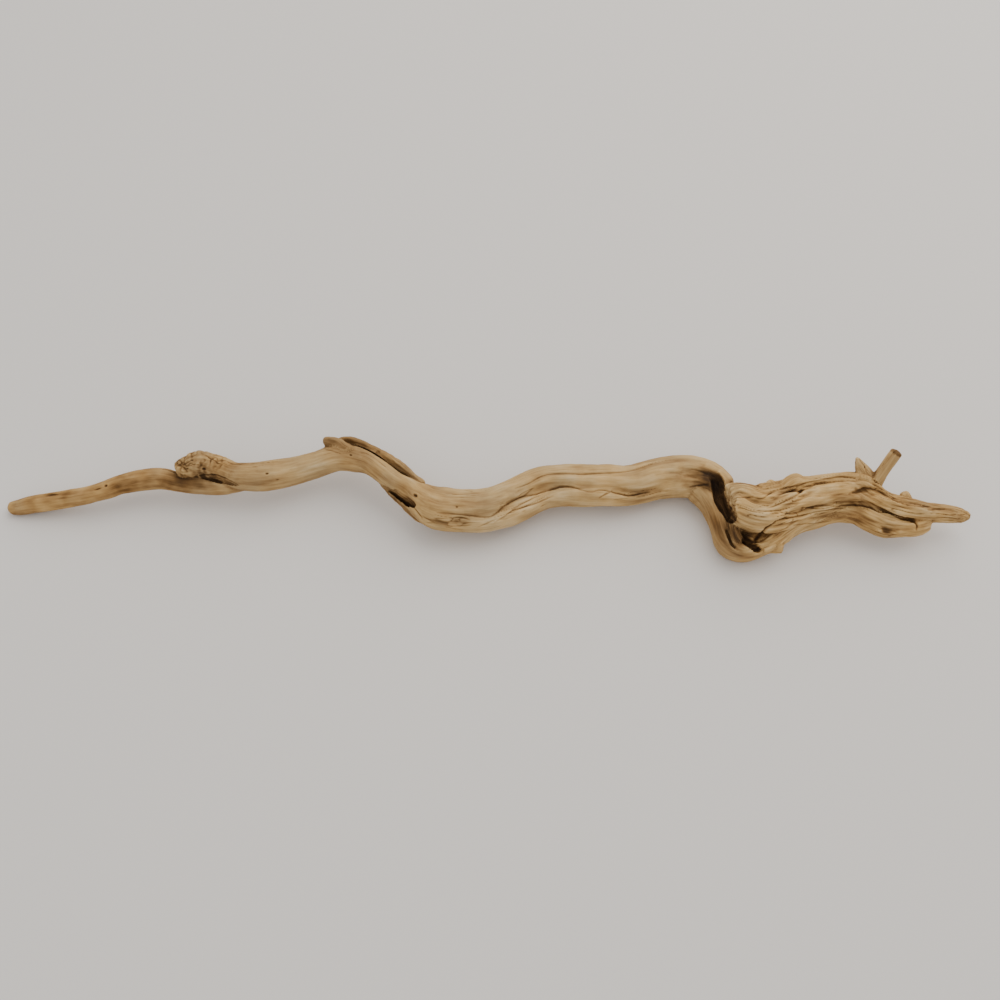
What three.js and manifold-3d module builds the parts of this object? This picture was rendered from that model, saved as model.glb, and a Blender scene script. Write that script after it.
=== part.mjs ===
// A piece of driftwood: one long, crooked vine branch, weathered smooth, which lies on its three lowest points.
// From left to right it has a thin tail, a twisted trunk, a curled fold that wraps a deep hollow, and a
// fissured root head with broken stubs. It grew as one piece, so it is one solid.
// Millimetres. +X runs from the tail's tip to the head's tip, +Y is the back and +Z is up.
import * as THREE from "three";
import { mergeVertices } from "three/addons/utils/BufferGeometryUtils.js";
import Module from "manifold-3d";

const wasm = await Module();
wasm.setup();

// Driving dimensions
const FACETS = 11800; // triangles in the finished solid
const RING_STEP = 1.7; // between two rings of a limb
const SIDE_STEP = 1.5; // between two points of a ring
const GROUND_CUT = 0.8; // worn off each of the lowest points

// The ridged grain: crests round a limb with their height shares, and how they wind, wander and swell along it
const CRESTS = [
  [3, 1],
  [5, 0.75],
  [8, 0.5],
  [13, 0.3],
];
const TWIST = 0.011; // radians for each mm
const WANDER = 3; // radians, to either side
const WANDER_LENGTH = 38;
const SWELL_LENGTH = 23;

// Limbs: rows of [x, y, z, half width across, half height] along each centreline
const tail = {
  cap: [4, 4],
  rough: [0.3, 0.4],
  path: [
    [-391, 1.5, 5.3, 4.4, 4.4],
    [-381, 1.2, 6.4, 6.8, 5.8],
    [-370, 2.2, 9, 7.4, 6.8],
    [-354, 3, 12, 7.3, 7],
    [-337, 4.5, 15, 7.4, 7.2],
    [-321, 6, 18, 7.2, 7.2],
    [-306, 10, 20, 7.8, 7.6],
    [-296, 14, 21, 8, 8],
    [-281, 17, 22, 8.8, 8.2],
    [-265, 19, 22, 8.8, 8],
    [-249, 16.5, 20, 7.6, 8],
    [-233, 14.5, 19, 7.2, 8],
    [-213, 13.5, 19.5, 7, 8],
    [-194, 14.5, 22, 5, 6],
  ],
};
const trunk = {
  cap: [4, 7],
  rough: [0.5, 0.8],
  path: [
    [-252.5, 23.5, 31, 5, 6],
    [-243, 24, 31, 8.2, 9],
    [-234, 27, 31, 10.8, 10],
    [-223.5, 26, 30, 10, 10],
    [-213, 22, 29, 9.8, 10.5],
    [-201, 18.5, 27, 11.2, 11],
    [-182, 19, 26, 12.5, 12],
    [-162, 23, 25.5, 11.6, 11.5],
    [-142, 29, 26.5, 10.6, 11],
    [-121, 34.5, 29, 11, 11],
    [-102.5, 31, 30, 9.8, 11],
    [-92.5, 26, 30, 8.7, 11],
    [-82.5, 17, 30, 7.8, 11.5],
    [-73.5, 9.5, 29.5, 7.4, 12],
    [-65, 5, 28, 8, 12],
    [-55.5, -1.5, 26, 12.5, 13],
    [-40.5, -9, 24, 18.2, 14.5],
    [-20, -10.8, 22.5, 18, 15],
    [0, -9.6, 22, 18.2, 15.5],
    [21, -1.5, 22, 18.2, 15.5],
    [41, 9.5, 21.5, 18, 15.5],
    [62, 13, 21, 17.6, 15.5],
    [90, 13.5, 20, 17.8, 15],
    [115, 14.7, 19.2, 16.6, 15],
    [135, 21, 18.2, 16.8, 15.6],
    [154, 24, 16.8, 17.6, 16.6],
    [167, 21.8, 18.4, 17.2, 17],
    [177, 17, 21, 15.4, 17],
    [186, 10, 22, 12, 15.5],
    [193, 3.5, 22, 8, 12],
  ],
};
const band = {
  cap: [8, 1.5],
  rough: [0.4, 0.5],
  path: [
    [162.5, 15, 18, 10.5, 12],
    [171, 9, 17, 10, 12.4],
    [177.5, -0.5, 16, 8.8, 13],
    [181.8, -11.5, 15, 8.2, 13.4],
    [184, -23, 14.4, 8, 13.6],
    [185.5, -33, 14.4, 7.8, 13.4],
    [190, -40.5, 14.4, 7, 13.2],
    [199.5, -44.2, 14.4, 6, 13],
    [210, -43.5, 16.5, 5, 11],
    [219, -41.5, 18.5, 3.8, 8.5],
    [224.5, -42.5, 20, 3.8, 6.5],
    [230, -44.5, 21, 3.6, 4.5],
  ],
};
const neck = {
  cap: [6, 6],
  rough: [0.5, 0.5],
  path: [
    [176.5, 20.5, 14, 8, 9],
    [185, 6.5, 14, 9.6, 10],
    [193, -10.5, 14, 10.4, 10],
    [200.5, -26, 15, 10, 10],
    [211.5, -34, 17, 8.6, 9.5],
    [224.5, -35, 19, 7, 8],
  ],
};
const head = {
  cap: [3, 4],
  rough: [1.5, 0.8],
  path: [
    [188, -12, 31, 15, 13.5],
    [193.5, -10.5, 31, 17.5, 15],
    [199, -12.5, 32, 19.2, 16.5],
    [206, -15.8, 32.5, 20.6, 17.2],
    [215, -16.6, 33, 21.2, 17.5],
    [225.5, -13.8, 33.5, 20, 17],
    [236, -10.5, 33.5, 18.6, 16.5],
    [247, -7.5, 33.5, 18, 16],
    [258.5, -5, 33, 16.9, 15.5],
    [273.5, -0.5, 32, 15.8, 15],
    [290, 1, 31, 15.8, 14],
    [301, -4, 30, 13.8, 13],
    [312, -9.5, 29, 10.2, 11.5],
    [324, -13, 28, 8.8, 10],
    [336.5, -14.5, 27, 8.3, 8.8],
    [350, -15, 26, 7.8, 7.6],
    [361, -15, 25, 7.4, 6.8],
    [369, -15.4, 24, 5.8, 5.6],
    [375.5, -17, 23, 3.8, 4.2],
    [380.5, -18.6, 22.5, 1.6, 2.4],
  ],
};
const front = {
  cap: [4, 3],
  rough: [0.8, 0.8],
  path: [
    [209.5, -43.5, 19, 4.4, 6],
    [216, -41, 20, 6.6, 8],
    [222.5, -37, 21, 8, 9],
    [229, -31.5, 22, 8.6, 9.5],
    [236, -27, 23, 7.8, 9.5],
    [244, -23.8, 24, 6.8, 9],
    [255.5, -20, 24, 6.7, 9],
    [273.5, -13.8, 24, 7, 9],
    [289.5, -14.5, 23, 7.2, 9.5],
    [301, -19.5, 22, 8.3, 10],
    [313.5, -23.5, 20, 9.5, 10],
    [326, -24, 19, 8.4, 9],
    [338.5, -23, 20, 8, 8.5],
    [348, -19.5, 21, 5.5, 7],
  ],
};
const topStrand = {
  cap: [3, 3],
  rough: [0.5, 0.5],
  path: [
    [227.5, -5, 43, 4, 4],
    [233, -1, 45, 5.5, 5.5],
    [239.5, 2, 46, 6, 5.6],
    [245.5, 1.5, 45.5, 4.8, 5],
    [260.5, 4, 45, 4.4, 5],
    [275.5, 7, 43, 4.2, 5],
    [288, 7.5, 41, 4.4, 5],
    [298, 4.5, 39, 4.4, 5],
    [307.5, 1, 35, 3.6, 4],
  ],
};
const twig = {
  cap: [2, 4],
  rough: [0.2, 0.2],
  path: [
    [-135, 45.5, 36, 3.6, 3.8],
    [-129.5, 45, 36.5, 4, 4],
    [-122.5, 43, 37, 4.4, 4.4],
    [-115, 37.5, 37, 4.8, 4.4],
    [-107, 33.5, 36, 4, 4],
  ],
};
const fin = {
  cap: [3, 4],
  rough: [0.25, 0.25],
  path: [
    [-127, 47, 31, 2.4, 4],
    [-119.5, 48.5, 31, 2.8, 6],
    [-110, 47.5, 30, 3.2, 7.5],
    [-100, 43.5, 29.5, 3.4, 8],
    [-90, 38, 29, 3.2, 8],
    [-78, 30, 29, 3.5, 8],
    [-68.5, 22.5, 28.5, 3.7, 8],
    [-60, 15.5, 27, 3.4, 7],
    [-52, 8.5, 26, 3.4, 6],
  ],
};
const sliver = {
  cap: [3, 4],
  rough: [0.2, 0.3],
  path: [
    [-87, 14, 25, 2.4, 4],
    [-79.5, 8, 21.5, 2.8, 6],
    [-70.5, 0, 19.5, 3, 7],
    [-62.5, -7.5, 18.5, 3.2, 8],
    [-54, -14.5, 18, 3.8, 8.5],
    [-42, -19.5, 19, 4.6, 9],
  ],
};
const longStub = {
  cap: [2, 1.2],
  rough: [0.2, 0.2],
  path: [
    [301, 1, 28, 8, 7.5],
    [306, 7, 37, 5.6, 5.8],
    [311.5, 14, 47, 4.9, 5],
    [319, 22.5, 58.5, 4.7, 4.8],
  ],
};
const shortStub = {
  cap: [2, 1.5],
  rough: [0.3, 0.3],
  path: [
    [301, 4, 30, 11, 8],
    [297, 11.5, 38, 8.2, 5.4],
    [292.5, 16, 44.5, 5.2, 3.6],
    [289.5, 19.5, 49.5, 2, 1.8],
  ],
};
const backNub = {
  cap: [2, 1.5],
  rough: [0.3, 0.3],
  path: [
    [331, -9, 27, 5, 5],
    [328.5, -4, 32, 4.4, 4],
    [326.5, -1, 35, 3, 2.8],
  ],
};
const edgeNub = {
  cap: [2, 1.5],
  rough: [0.3, 0.3],
  path: [
    [223, -3, 40, 6, 6],
    [220.5, 3, 42, 3.6, 3],
    [219.5, 5.4, 43, 2.4, 2.2],
  ],
};
const innerLobe = {
  cap: [3, 3],
  rough: [0.5, 0.5],
  path: [
    [191, -19.5, 24, 3.2, 5],
    [191, -28, 25, 4.2, 7],
    [192.5, -36.5, 24, 4.7, 8],
    [196, -42, 21, 3.5, 6],
  ],
};

// Furrows: rows of [x, degrees from the top towards the back, half width, depth] where a limb's surface sinks
trunk.furrows = [
  {
    // The long shaded furrow along the front
    rows: [
      [-44, -45, 3, 0.4],
      [-31, -42, 3, 1.4],
      [-12, -44, 3.5, 2.4],
      [6, -45, 4.5, 3.8],
      [15, -32, 6, 5.2],
      [25, -27, 7, 6.4],
      [46, -34, 6.5, 6.6],
      [58, -31, 5.2, 5.6],
      [68, -31, 4.2, 4],
      [90, -39, 3.8, 3],
      [103, -46, 3.6, 3],
      [113, -57, 3.4, 3.2],
      [130, -65, 3, 1.8],
      [140, -68, 3, 0.4],
    ],
  },
  {
    // The second, lower furrow
    rows: [
      [4, -74, 2.4, 0.4],
      [13, -63, 2.6, 2],
      [21, -51, 2.6, 2.2],
      [36, -57, 2.6, 2],
      [52, -55, 2.4, 0.4],
    ],
  },
  {
    // The edge of the smooth upper ridge
    rows: [
      [6, 0, 1.8, 0.3],
      [30, 0, 1.8, 1.1],
      [46, 7, 1.8, 1.5],
      [90, 8, 1.8, 1.4],
      [114, 15, 1.8, 1.2],
      [135, 20, 2, 1.6],
      [158, 21, 2.4, 2],
      [174, 21, 2.4, 1],
    ],
  },
  {
    // A furrow on the hidden back, as deep as the front one
    rows: [
      [-30, 120, 4, 0.4],
      [0, 112, 5, 3],
      [45, 125, 6, 4.2],
      [95, 140, 5, 3.6],
      [150, 130, 4, 0.6],
    ],
  },
  {
    // The trunk's end dips into the deep hollow
    rows: [
      [138, -20, 3, 0.3],
      [150, -20, 5, 2],
      [161, -18, 7, 4.5],
      [171, -14, 8, 6.5],
      [181, -8, 7, 5],
    ],
  },
  {
    // The knotty pit near the crook
    rows: [
      [-31, -66, 2.4, 0.3],
      [-26, -65, 3, 2.6],
      [-20, -62, 2.4, 0.3],
    ],
  },
];
band.furrows = [
  {
    // Its inner side is scooped out, which leaves a thin rim outside
    rows: [
      [171, 26, 3, 0.3],
      [179, 28, 4, 2.2],
      [185, 30, 4, 3],
      [196, 30, 3.6, 2.6],
      [208, 28, 3, 1.6],
      [217, 25, 2.4, 0.3],
    ],
  },
];
head.furrows = [
  {
    // Below the thin strand along the top edge
    rows: [
      [196, -13, 2.2, 0.5],
      [207, -8, 2.4, 2],
      [217, -10, 2.4, 2.4],
      [224, 5, 2.6, 2.8],
      [232, 14, 2.8, 3.2],
      [243, 8, 2.8, 3.4],
      [255, 16, 2.8, 3.4],
      [268, 18, 2.6, 3],
      [279, 20, 2.4, 2],
      [290, 15, 2.4, 0.6],
    ],
  },
  {
    // A short crack that runs into a small knot
    rows: [
      [214, -42, 1.8, 0.4],
      [226, -33, 2, 1.8],
      [236, -23, 2.2, 2.2],
      [247, -10, 2.8, 3],
      [252, -6, 2.4, 0.6],
    ],
  },
  {
    // The main fissure, between the head and its front strand
    rows: [
      [212, -72, 2.4, 1],
      [228, -55, 2.6, 2.8],
      [240, -62, 2.6, 3],
      [253, -54, 2.6, 3],
      [265, -57, 2.6, 3.4],
      [278, -70, 3, 4.4],
      [291, -72, 3.2, 5],
      [301, -64, 3, 5],
      [309, -69, 2.8, 4.6],
      [324, -88, 2.6, 3],
      [334, -92, 2.4, 1],
    ],
  },
  {
    // The hollow under the lit ridge
    rows: [
      [280, -36, 3, 0.6],
      [292, -18, 4.5, 4],
      [300, -3, 4.8, 5],
      [307, 9, 4, 3.6],
      [316, 20, 3, 2],
      [325, 8, 2.4, 0.5],
    ],
  },
  {
    // A fissure on the hidden back
    rows: [
      [196, 120, 3, 0.6],
      [222, 105, 4.5, 4],
      [255, 118, 5, 5],
      [290, 108, 4, 3.6],
      [322, 122, 3, 0.6],
    ],
  },
];
tail.furrows = [
  {
    // A shallow split along the top, near the tip
    rows: [
      [-372, 10, 1.6, 0.2],
      [-356, 14, 1.8, 1.2],
      [-338, 8, 1.6, 0.2],
    ],
  },
];
front.furrows = [
  {
    // The knot hole near the right end
    rows: [
      [306, -52, 2, 0.2],
      [311, -56, 4, 3.5],
      [316, -58, 4.2, 4],
      [321, -58, 2.4, 0.4],
    ],
  },
];

const limbs = [
  tail,
  trunk,
  band,
  neck,
  head,
  front,
  topStrand,
  twig,
  fin,
  sliver,
  longStub,
  shortStub,
  backNub,
  edgeNub,
  innerLobe,
];

// Hollows: limbs of air that are cut out of the joined wood
const hollows = [
  {
    // The deep hollow inside the fold, and the crevice that runs down from it
    cap: [3, 3],
    path: [
      [169, 22, 41, 2.4, 4],
      [175, 18, 40, 5, 8],
      [180, 10.5, 39, 7.6, 11],
      [181.5, 2, 37, 7.6, 13],
      [182, -6, 36, 6.3, 14],
      [184.5, -14, 35, 4.9, 14],
      [188, -21.5, 34, 3.6, 13],
      [191.5, -28, 33, 2.3, 9],
    ],
  },
  {
    // The curved crack between the fold and the lobe inside it
    cap: [2, 2],
    path: [
      [185, -27, 28, 0.9, 3],
      [186, -35, 28, 1.6, 6],
      [188.5, -42.5, 28, 1.7, 7],
      [193.5, -47, 27, 1.7, 6],
      [199, -49.5, 26, 1.2, 4],
    ],
  },
  {
    // The cave under the start of the head's front strand
    cap: [3, 3],
    path: [
      [195.5, -39.5, 28, 1.9, 5],
      [201, -42.5, 27, 3.3, 8],
      [207, -45.5, 26, 3.7, 8],
      [213, -48.5, 26, 2.6, 6],
      [217.5, -49.5, 25, 1.2, 3],
    ],
  },
  {
    // The crack between the knob and the tail
    cap: [2, 3],
    path: [
      [-234, 18.5, 25.5, 1, 1.2],
      [-229, 18.8, 26, 1.3, 4],
      [-220, 18.2, 26, 1.5, 5],
      [-211, 15.5, 26, 1.2, 5],
      [-200, 10, 25, 0.7, 4],
    ],
  },
  {
    // The gap between the trunk and the fin behind it
    cap: [2, 2],
    path: [
      [-123, 45.3, 36, 0.7, 2],
      [-114, 43.6, 36, 1, 4],
      [-103, 40, 36, 1.2, 5],
      [-91, 33, 36, 1.4, 6],
      [-78, 23.2, 36, 1.2, 5],
      [-68, 15.5, 36, 0.8, 3],
    ],
  },
  {
    // The gap between the trunk and the sliver in front of it
    cap: [2, 2],
    path: [
      [-84.5, 9, 26, 1.1, 4],
      [-78, 6, 26, 1.8, 7],
      [-71, 1.5, 25.5, 2.2, 8],
      [-64.5, -3.5, 25, 2.4, 8],
      [-58.5, -8.5, 24, 1.4, 5],
    ],
  },
];

// Smooth noise from -1 to 1 along a line, the same on every run
function wobble(x, seed) {
  const value = (i) => {
    const s = Math.sin(i * 12.9898 + seed * 78.233) * 43758.5453;
    return s - Math.floor(s);
  };
  const i = Math.floor(x);
  const f = x - i;
  const ease = f * f * (3 - 2 * f);
  return 2 * (value(i) * (1 - ease) + value(i + 1) * ease) - 1;
}

// Rounded ridges with sharp valleys, which wind along a limb; the mean height is 0
function ridges(x, angle) {
  let height = 0;
  for (const [count, share] of CRESTS) {
    const turn = count * (angle + TWIST * x) + WANDER * wobble(x / WANDER_LENGTH, count);
    const swell = 0.65 + 0.35 * wobble(x / SWELL_LENGTH, count + 20);
    height += share * swell * (2 * Math.abs(Math.cos(turn / 2)) - 4 / Math.PI);
  }
  return height;
}

// How far a furrow sinks the surface at station x and an angle, on a limb of about that radius
function furrowDepth({ rows }, x, angle, radius) {
  const next = rows.findIndex((row) => row[0] > x);
  if (next < 1) return 0;
  const [before, after] = [rows[next - 1], rows[next]];
  const share = (x - before[0]) / (after[0] - before[0]);
  const [, degrees, wide, deep] = before.map((value, i) => THREE.MathUtils.lerp(value, after[i], share));
  const off = angle - THREE.MathUtils.degToRad(degrees);
  const across = Math.atan2(Math.sin(off), Math.cos(off)) * radius;
  return deep * Math.exp(-((across / wide) ** 2));
}

// The share of its full radius that a limb has at a distance from its end
function endRounding(distance, cap) {
  if (distance >= cap) return 1;
  return Math.sqrt(Math.max(0, 1 - (1 - distance / cap) ** 2));
}

// A limb as a closed surface: a sphere's grid drawn out along the centreline
function limbGeometry({ path, cap, rough = [0, 0], furrows = [] }) {
  const spine = new THREE.CatmullRomCurve3(path.map(([x, y, z]) => new THREE.Vector3(x, y, z)));
  const girth = new THREE.CatmullRomCurve3(path.map((row) => new THREE.Vector3(row[3], row[4], 0)));
  spine.curveType = "catmullrom";
  girth.curveType = "catmullrom";
  const length = spine.getLength();
  const widest = Math.max(...path.flatMap(([, , , across, high]) => [across, high]));
  const rings = Math.ceil(length / RING_STEP);
  const sides = Math.max(12, Math.ceil((2 * Math.PI * widest) / SIDE_STEP));
  const geometry = new THREE.SphereGeometry(1, sides, rings);
  const { position, uv } = geometry.attributes;
  const up = new THREE.Vector3(0, 0, 1);
  for (let i = 0; i < position.count; i++) {
    const along = 1 - uv.getY(i);
    const angle = 2 * Math.PI * uv.getX(i);
    const t = spine.getUtoTmapping(along);
    const centre = spine.getPoint(t);
    const tangent = spine.getTangent(t);
    const normal = up.clone().addScaledVector(tangent, -up.dot(tangent)).normalize();
    const side = normal.clone().cross(tangent);

    const { x: across, y: high } = girth.getPoint(t);
    const plain = 1 / Math.hypot(Math.cos(angle) / high, Math.sin(angle) / across);
    let radius = plain + THREE.MathUtils.lerp(rough[0], rough[1], along) * ridges(centre.x, angle);
    for (const furrow of furrows) radius -= furrowDepth(furrow, centre.x, angle, plain);
    radius *= endRounding(along * length, cap[0]) * endRounding((1 - along) * length, cap[1]);

    centre.addScaledVector(normal, radius * Math.cos(angle));
    centre.addScaledVector(side, radius * Math.sin(angle));
    position.setXYZ(i, centre.x, centre.y, centre.z);
  }
  return geometry;
}

// A closed geometry as a manifold-3d solid
function solidOf(geometry) {
  const bare = new THREE.BufferGeometry();
  bare.setAttribute("position", geometry.getAttribute("position"));
  bare.setIndex(geometry.index);
  const merged = mergeVertices(bare, 1e-4);
  return new wasm.Manifold(
    new wasm.Mesh({
      numProp: 3,
      vertProperties: merged.attributes.position.array,
      triVerts: new Uint32Array(merged.index.array),
    }),
  );
}

// Joins every limb, cuts the hollows and keeps the one piece, without the crumbs that a cut may leave
function carve() {
  let wood = limbs.map((limb) => solidOf(limbGeometry(limb))).reduce((a, b) => a.add(b));
  for (const hollow of hollows) wood = wood.subtract(solidOf(limbGeometry(hollow)));
  return wood.decompose().reduce((a, b) => (a.volume() > b.volume() ? a : b));
}

// The lowest points are worn flat on one plane, and the origin goes to the middle of the footprint
function settle(wood) {
  const { min, max } = wood.boundingBox();
  const floor = min[2] + GROUND_CUT;
  const thick = 20;
  const ground = new THREE.BoxGeometry(2 * (max[0] - min[0]), 2 * (max[1] - min[1]), thick);
  ground.translate(0, 0, floor - thick / 2);
  return wood.subtract(solidOf(ground)).translate([-(min[0] + max[0]) / 2, -(min[1] + max[1]) / 2, -floor]);
}

// A queue that gives back the item with the least cost first
class Queue {
  items = [];

  swap(i, j) {
    [this.items[i], this.items[j]] = [this.items[j], this.items[i]];
  }

  push(item) {
    let i = this.items.push(item) - 1;
    while (i > 0) {
      const parent = (i - 1) >> 1;
      if (this.items[parent].cost <= item.cost) return;
      this.swap(i, parent);
      i = parent;
    }
  }

  pop() {
    this.swap(0, this.items.length - 1);
    const top = this.items.pop();
    let i = 0;
    while (2 * i + 1 < this.items.length) {
      let child = 2 * i + 1;
      const other = child + 1;
      if (other < this.items.length && this.items[other].cost < this.items[child].cost) child = other;
      if (this.items[i].cost <= this.items[child].cost) break;
      this.swap(i, child);
      i = child;
    }
    return top;
  }
}

// The squared distance to a set of planes, as the ten numbers of a symmetric 4 by 4 matrix
const planeQuadric = ({ x, y, z }, w, weight) =>
  [x * x, x * y, x * z, x * w, y * y, y * z, y * w, z * z, z * w, w * w].map((value) => weight * value);

const quadricError = (q, { x, y, z }) =>
  q[0] * x * x + q[4] * y * y + q[7] * z * z + q[9] + 2 * (q[1] * x * y + q[2] * x * z + q[5] * y * z) +
  2 * (q[3] * x + q[6] * y + q[8] * z);

// The same surface with fewer triangles. Edges are closed up one by one, the one that moves the surface least
// first. Points on the ground stay on the ground, so the worn spots stay flat.
function simplify({ vertProperties, triVerts }, target) {
  const shortness = 1e-4; // how much short edges are preferred, so that few thin triangles are left
  const thinnest = 0.01; // twice the area of a triangle too thin to have a direction
  const points = [];
  for (let i = 0; i < vertProperties.length; i += 3) {
    const point = new THREE.Vector3().fromArray(vertProperties, i);
    if (Math.abs(point.z) < 1e-5) point.z = 0;
    points.push(point);
  }
  const quadrics = points.map(() => new Array(10).fill(0));
  const around = points.map(() => new Set());
  const age = points.map(() => 0);
  const faces = [];
  const crossOf = ([a, b, c]) => b.clone().sub(a).cross(c.clone().sub(a));

  for (let i = 0; i < triVerts.length; i += 3) {
    const face = Array.from(triVerts.subarray(i, i + 3));
    const normal = crossOf(face.map((v) => points[v]));
    const area = normal.length() / 2;
    normal.normalize();
    const quadric = planeQuadric(normal, -normal.dot(points[face[0]]), area);
    for (const v of face) {
      around[v].add(faces.length);
      quadrics[v] = quadrics[v].map((value, k) => value + quadric[k]);
    }
    faces.push(face);
  }

  const neighbours = (v) => new Set([...around[v]].flatMap((i) => faces[i]).filter((other) => other !== v));
  const joined = (a, b) => quadrics[a].map((value, k) => value + quadrics[b][k]);

  // Closing the edge between a and b: where their common point lies best, and what that costs
  function closing(a, b) {
    const q = joined(a, b);
    const [start, end] = [points[a], points[b]];
    const middle = start.clone().lerp(end, 0.5);
    let places = [middle, start, end];
    const matrix = new THREE.Matrix3().set(q[0], q[1], q[2], q[1], q[4], q[5], q[2], q[5], q[7]);
    if (Math.abs(matrix.determinant()) > 1e-4 * (q[0] + q[4] + q[7]) ** 3) {
      const best = new THREE.Vector3(-q[3], -q[6], -q[8]).applyMatrix3(matrix.invert());
      if (best.distanceTo(middle) < start.distanceTo(end)) places.push(best);
    }
    const grounded = start.z === 0 || end.z === 0;
    places = places.filter(({ z }) => (grounded ? z === 0 : z > 0));
    const costs = places.map((place) => quadricError(q, place));
    const least = Math.min(...costs);
    const cost = least + shortness * start.distanceToSquared(end);
    return { a, b, place: places[costs.indexOf(least)], cost, age: age[a] + age[b] };
  }

  // Whether a face would turn over, or become too thin, when its corners at a and b move to the place
  function spoils(face, { a, b, place }) {
    if (face.includes(a) && face.includes(b)) return false;
    const before = crossOf(face.map((v) => points[v]));
    const after = crossOf(face.map((v) => (v === a || v === b ? place : points[v])));
    const turns = after.dot(before) < 0.2 * after.length() * before.length();
    return (turns && before.length() > thinnest) || after.length() < Math.min(thinnest, before.length());
  }

  const queue = new Queue();
  points.forEach((_, v) => {
    for (const other of neighbours(v)) if (v < other) queue.push(closing(v, other));
  });

  let left = faces.length;
  while (left > target && queue.items.length) {
    const edge = queue.pop();
    const { a, b } = edge;
    if (!around[a].size || !around[b].size || edge.age !== age[a] + age[b]) continue;
    const near = neighbours(a);
    const shared = [...neighbours(b)].filter((v) => near.has(v));
    if (!near.has(b) || shared.length !== 2) continue;
    if ([...around[a], ...around[b]].some((i) => spoils(faces[i], edge))) continue;
    for (const i of around[b]) {
      const face = faces[i];
      if (face.includes(a)) {
        face.filter((v) => v !== b).forEach((v) => around[v].delete(i));
        faces[i] = null;
        left--;
      } else {
        face[face.indexOf(b)] = a;
        around[a].add(i);
      }
    }
    around[b].clear();
    quadrics[a] = joined(a, b);
    points[a] = edge.place;
    age[a] += age[b] + 1;
    for (const v of neighbours(a)) queue.push(closing(a, v));
  }

  const geometry = new THREE.BufferGeometry().setFromPoints(points);
  return geometry.setIndex(faces.filter(Boolean).flat());
}

const driftwood = new THREE.Mesh(
  simplify(settle(carve()).getMesh(), FACETS),
  new THREE.MeshStandardMaterial({ color: 0xac8a5f, roughness: 0.85, metalness: 0 }),
);
driftwood.name = "driftwood";
export default new THREE.Group().add(driftwood);
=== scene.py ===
"""A piece of driftwood on a pale floor: one fine mesh of weathered wood stands for the plain solid.

The limbs follow the part's source, in its millimetres, but the head's tip and the short stub end a little
differently. Of the six hollows four are narrower than there, and the knob's crack and the sliver's gap lie a few
millimetres aside. Each limb is swept with its ridges and furrows. The limbs are joined, the hollows are cut out,
and the joined skin is carved with fibres, cracks and wormholes. Angles are in degrees round a limb: 0 is its
top and 90 its back.
"""
import math
from dataclasses import dataclass, field

import bpy
import numpy as np
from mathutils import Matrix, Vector, kdtree
from mathutils.bvhtree import BVHTree


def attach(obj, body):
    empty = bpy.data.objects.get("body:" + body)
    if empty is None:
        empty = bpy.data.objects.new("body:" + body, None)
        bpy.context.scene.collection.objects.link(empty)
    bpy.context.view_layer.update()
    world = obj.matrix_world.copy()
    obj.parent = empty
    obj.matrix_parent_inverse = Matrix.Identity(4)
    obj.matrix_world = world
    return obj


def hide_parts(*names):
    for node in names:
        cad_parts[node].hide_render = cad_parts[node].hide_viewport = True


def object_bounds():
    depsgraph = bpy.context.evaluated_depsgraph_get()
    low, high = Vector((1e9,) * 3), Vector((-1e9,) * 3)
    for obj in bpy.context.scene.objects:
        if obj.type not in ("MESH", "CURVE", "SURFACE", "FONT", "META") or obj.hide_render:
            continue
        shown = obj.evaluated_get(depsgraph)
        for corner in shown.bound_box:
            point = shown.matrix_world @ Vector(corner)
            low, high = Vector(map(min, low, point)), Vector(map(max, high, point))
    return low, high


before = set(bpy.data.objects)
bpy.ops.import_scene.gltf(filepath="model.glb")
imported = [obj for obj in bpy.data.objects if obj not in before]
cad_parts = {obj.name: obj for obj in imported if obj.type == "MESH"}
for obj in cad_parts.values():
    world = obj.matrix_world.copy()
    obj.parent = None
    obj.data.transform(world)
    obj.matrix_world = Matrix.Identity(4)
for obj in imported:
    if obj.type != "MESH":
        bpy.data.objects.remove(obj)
cad_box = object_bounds()

MM = 0.001
VOXEL = 0.7  # mm, of the joined skin
STEP = 1.1  # mm between the points of a limb's skin
MOST_TRIANGLES = 190_000
GROUND_CUT = 0.8  # mm worn off each of the lowest points

# The ridged grain: crests round a limb with their height shares, and how they wind, wander and swell along it
CRESTS = ((3, 1), (5, 0.75), (8, 0.5), (13, 0.3))
TWIST = 0.011  # radians for each mm
WANDER = 3
WANDER_LENGTH = 38
SWELL_MEAN = 0.65
SWELL = 0.35
SWELL_LENGTH = 23
SWELL_SEED = 20

# The photograph's camera: it looks down at 60 degrees and sees 50 degrees across 1000 pixels
PIXELS = 1000
VIEW_ANGLE = math.radians(50)
LOOK_DOWN = math.radians(60)
AIM = np.array((8.8, 0, 20))  # mm, in the frame of the limbs' tables
DISTANCE = 858


@dataclass
class Limb:
    """Rows of (x, y, z, half width across, half height) along a centreline, and what its surface is like"""
    path: list
    cap: tuple
    rough: tuple = (0, 0)
    furrows: list = field(default_factory=list)


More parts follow.
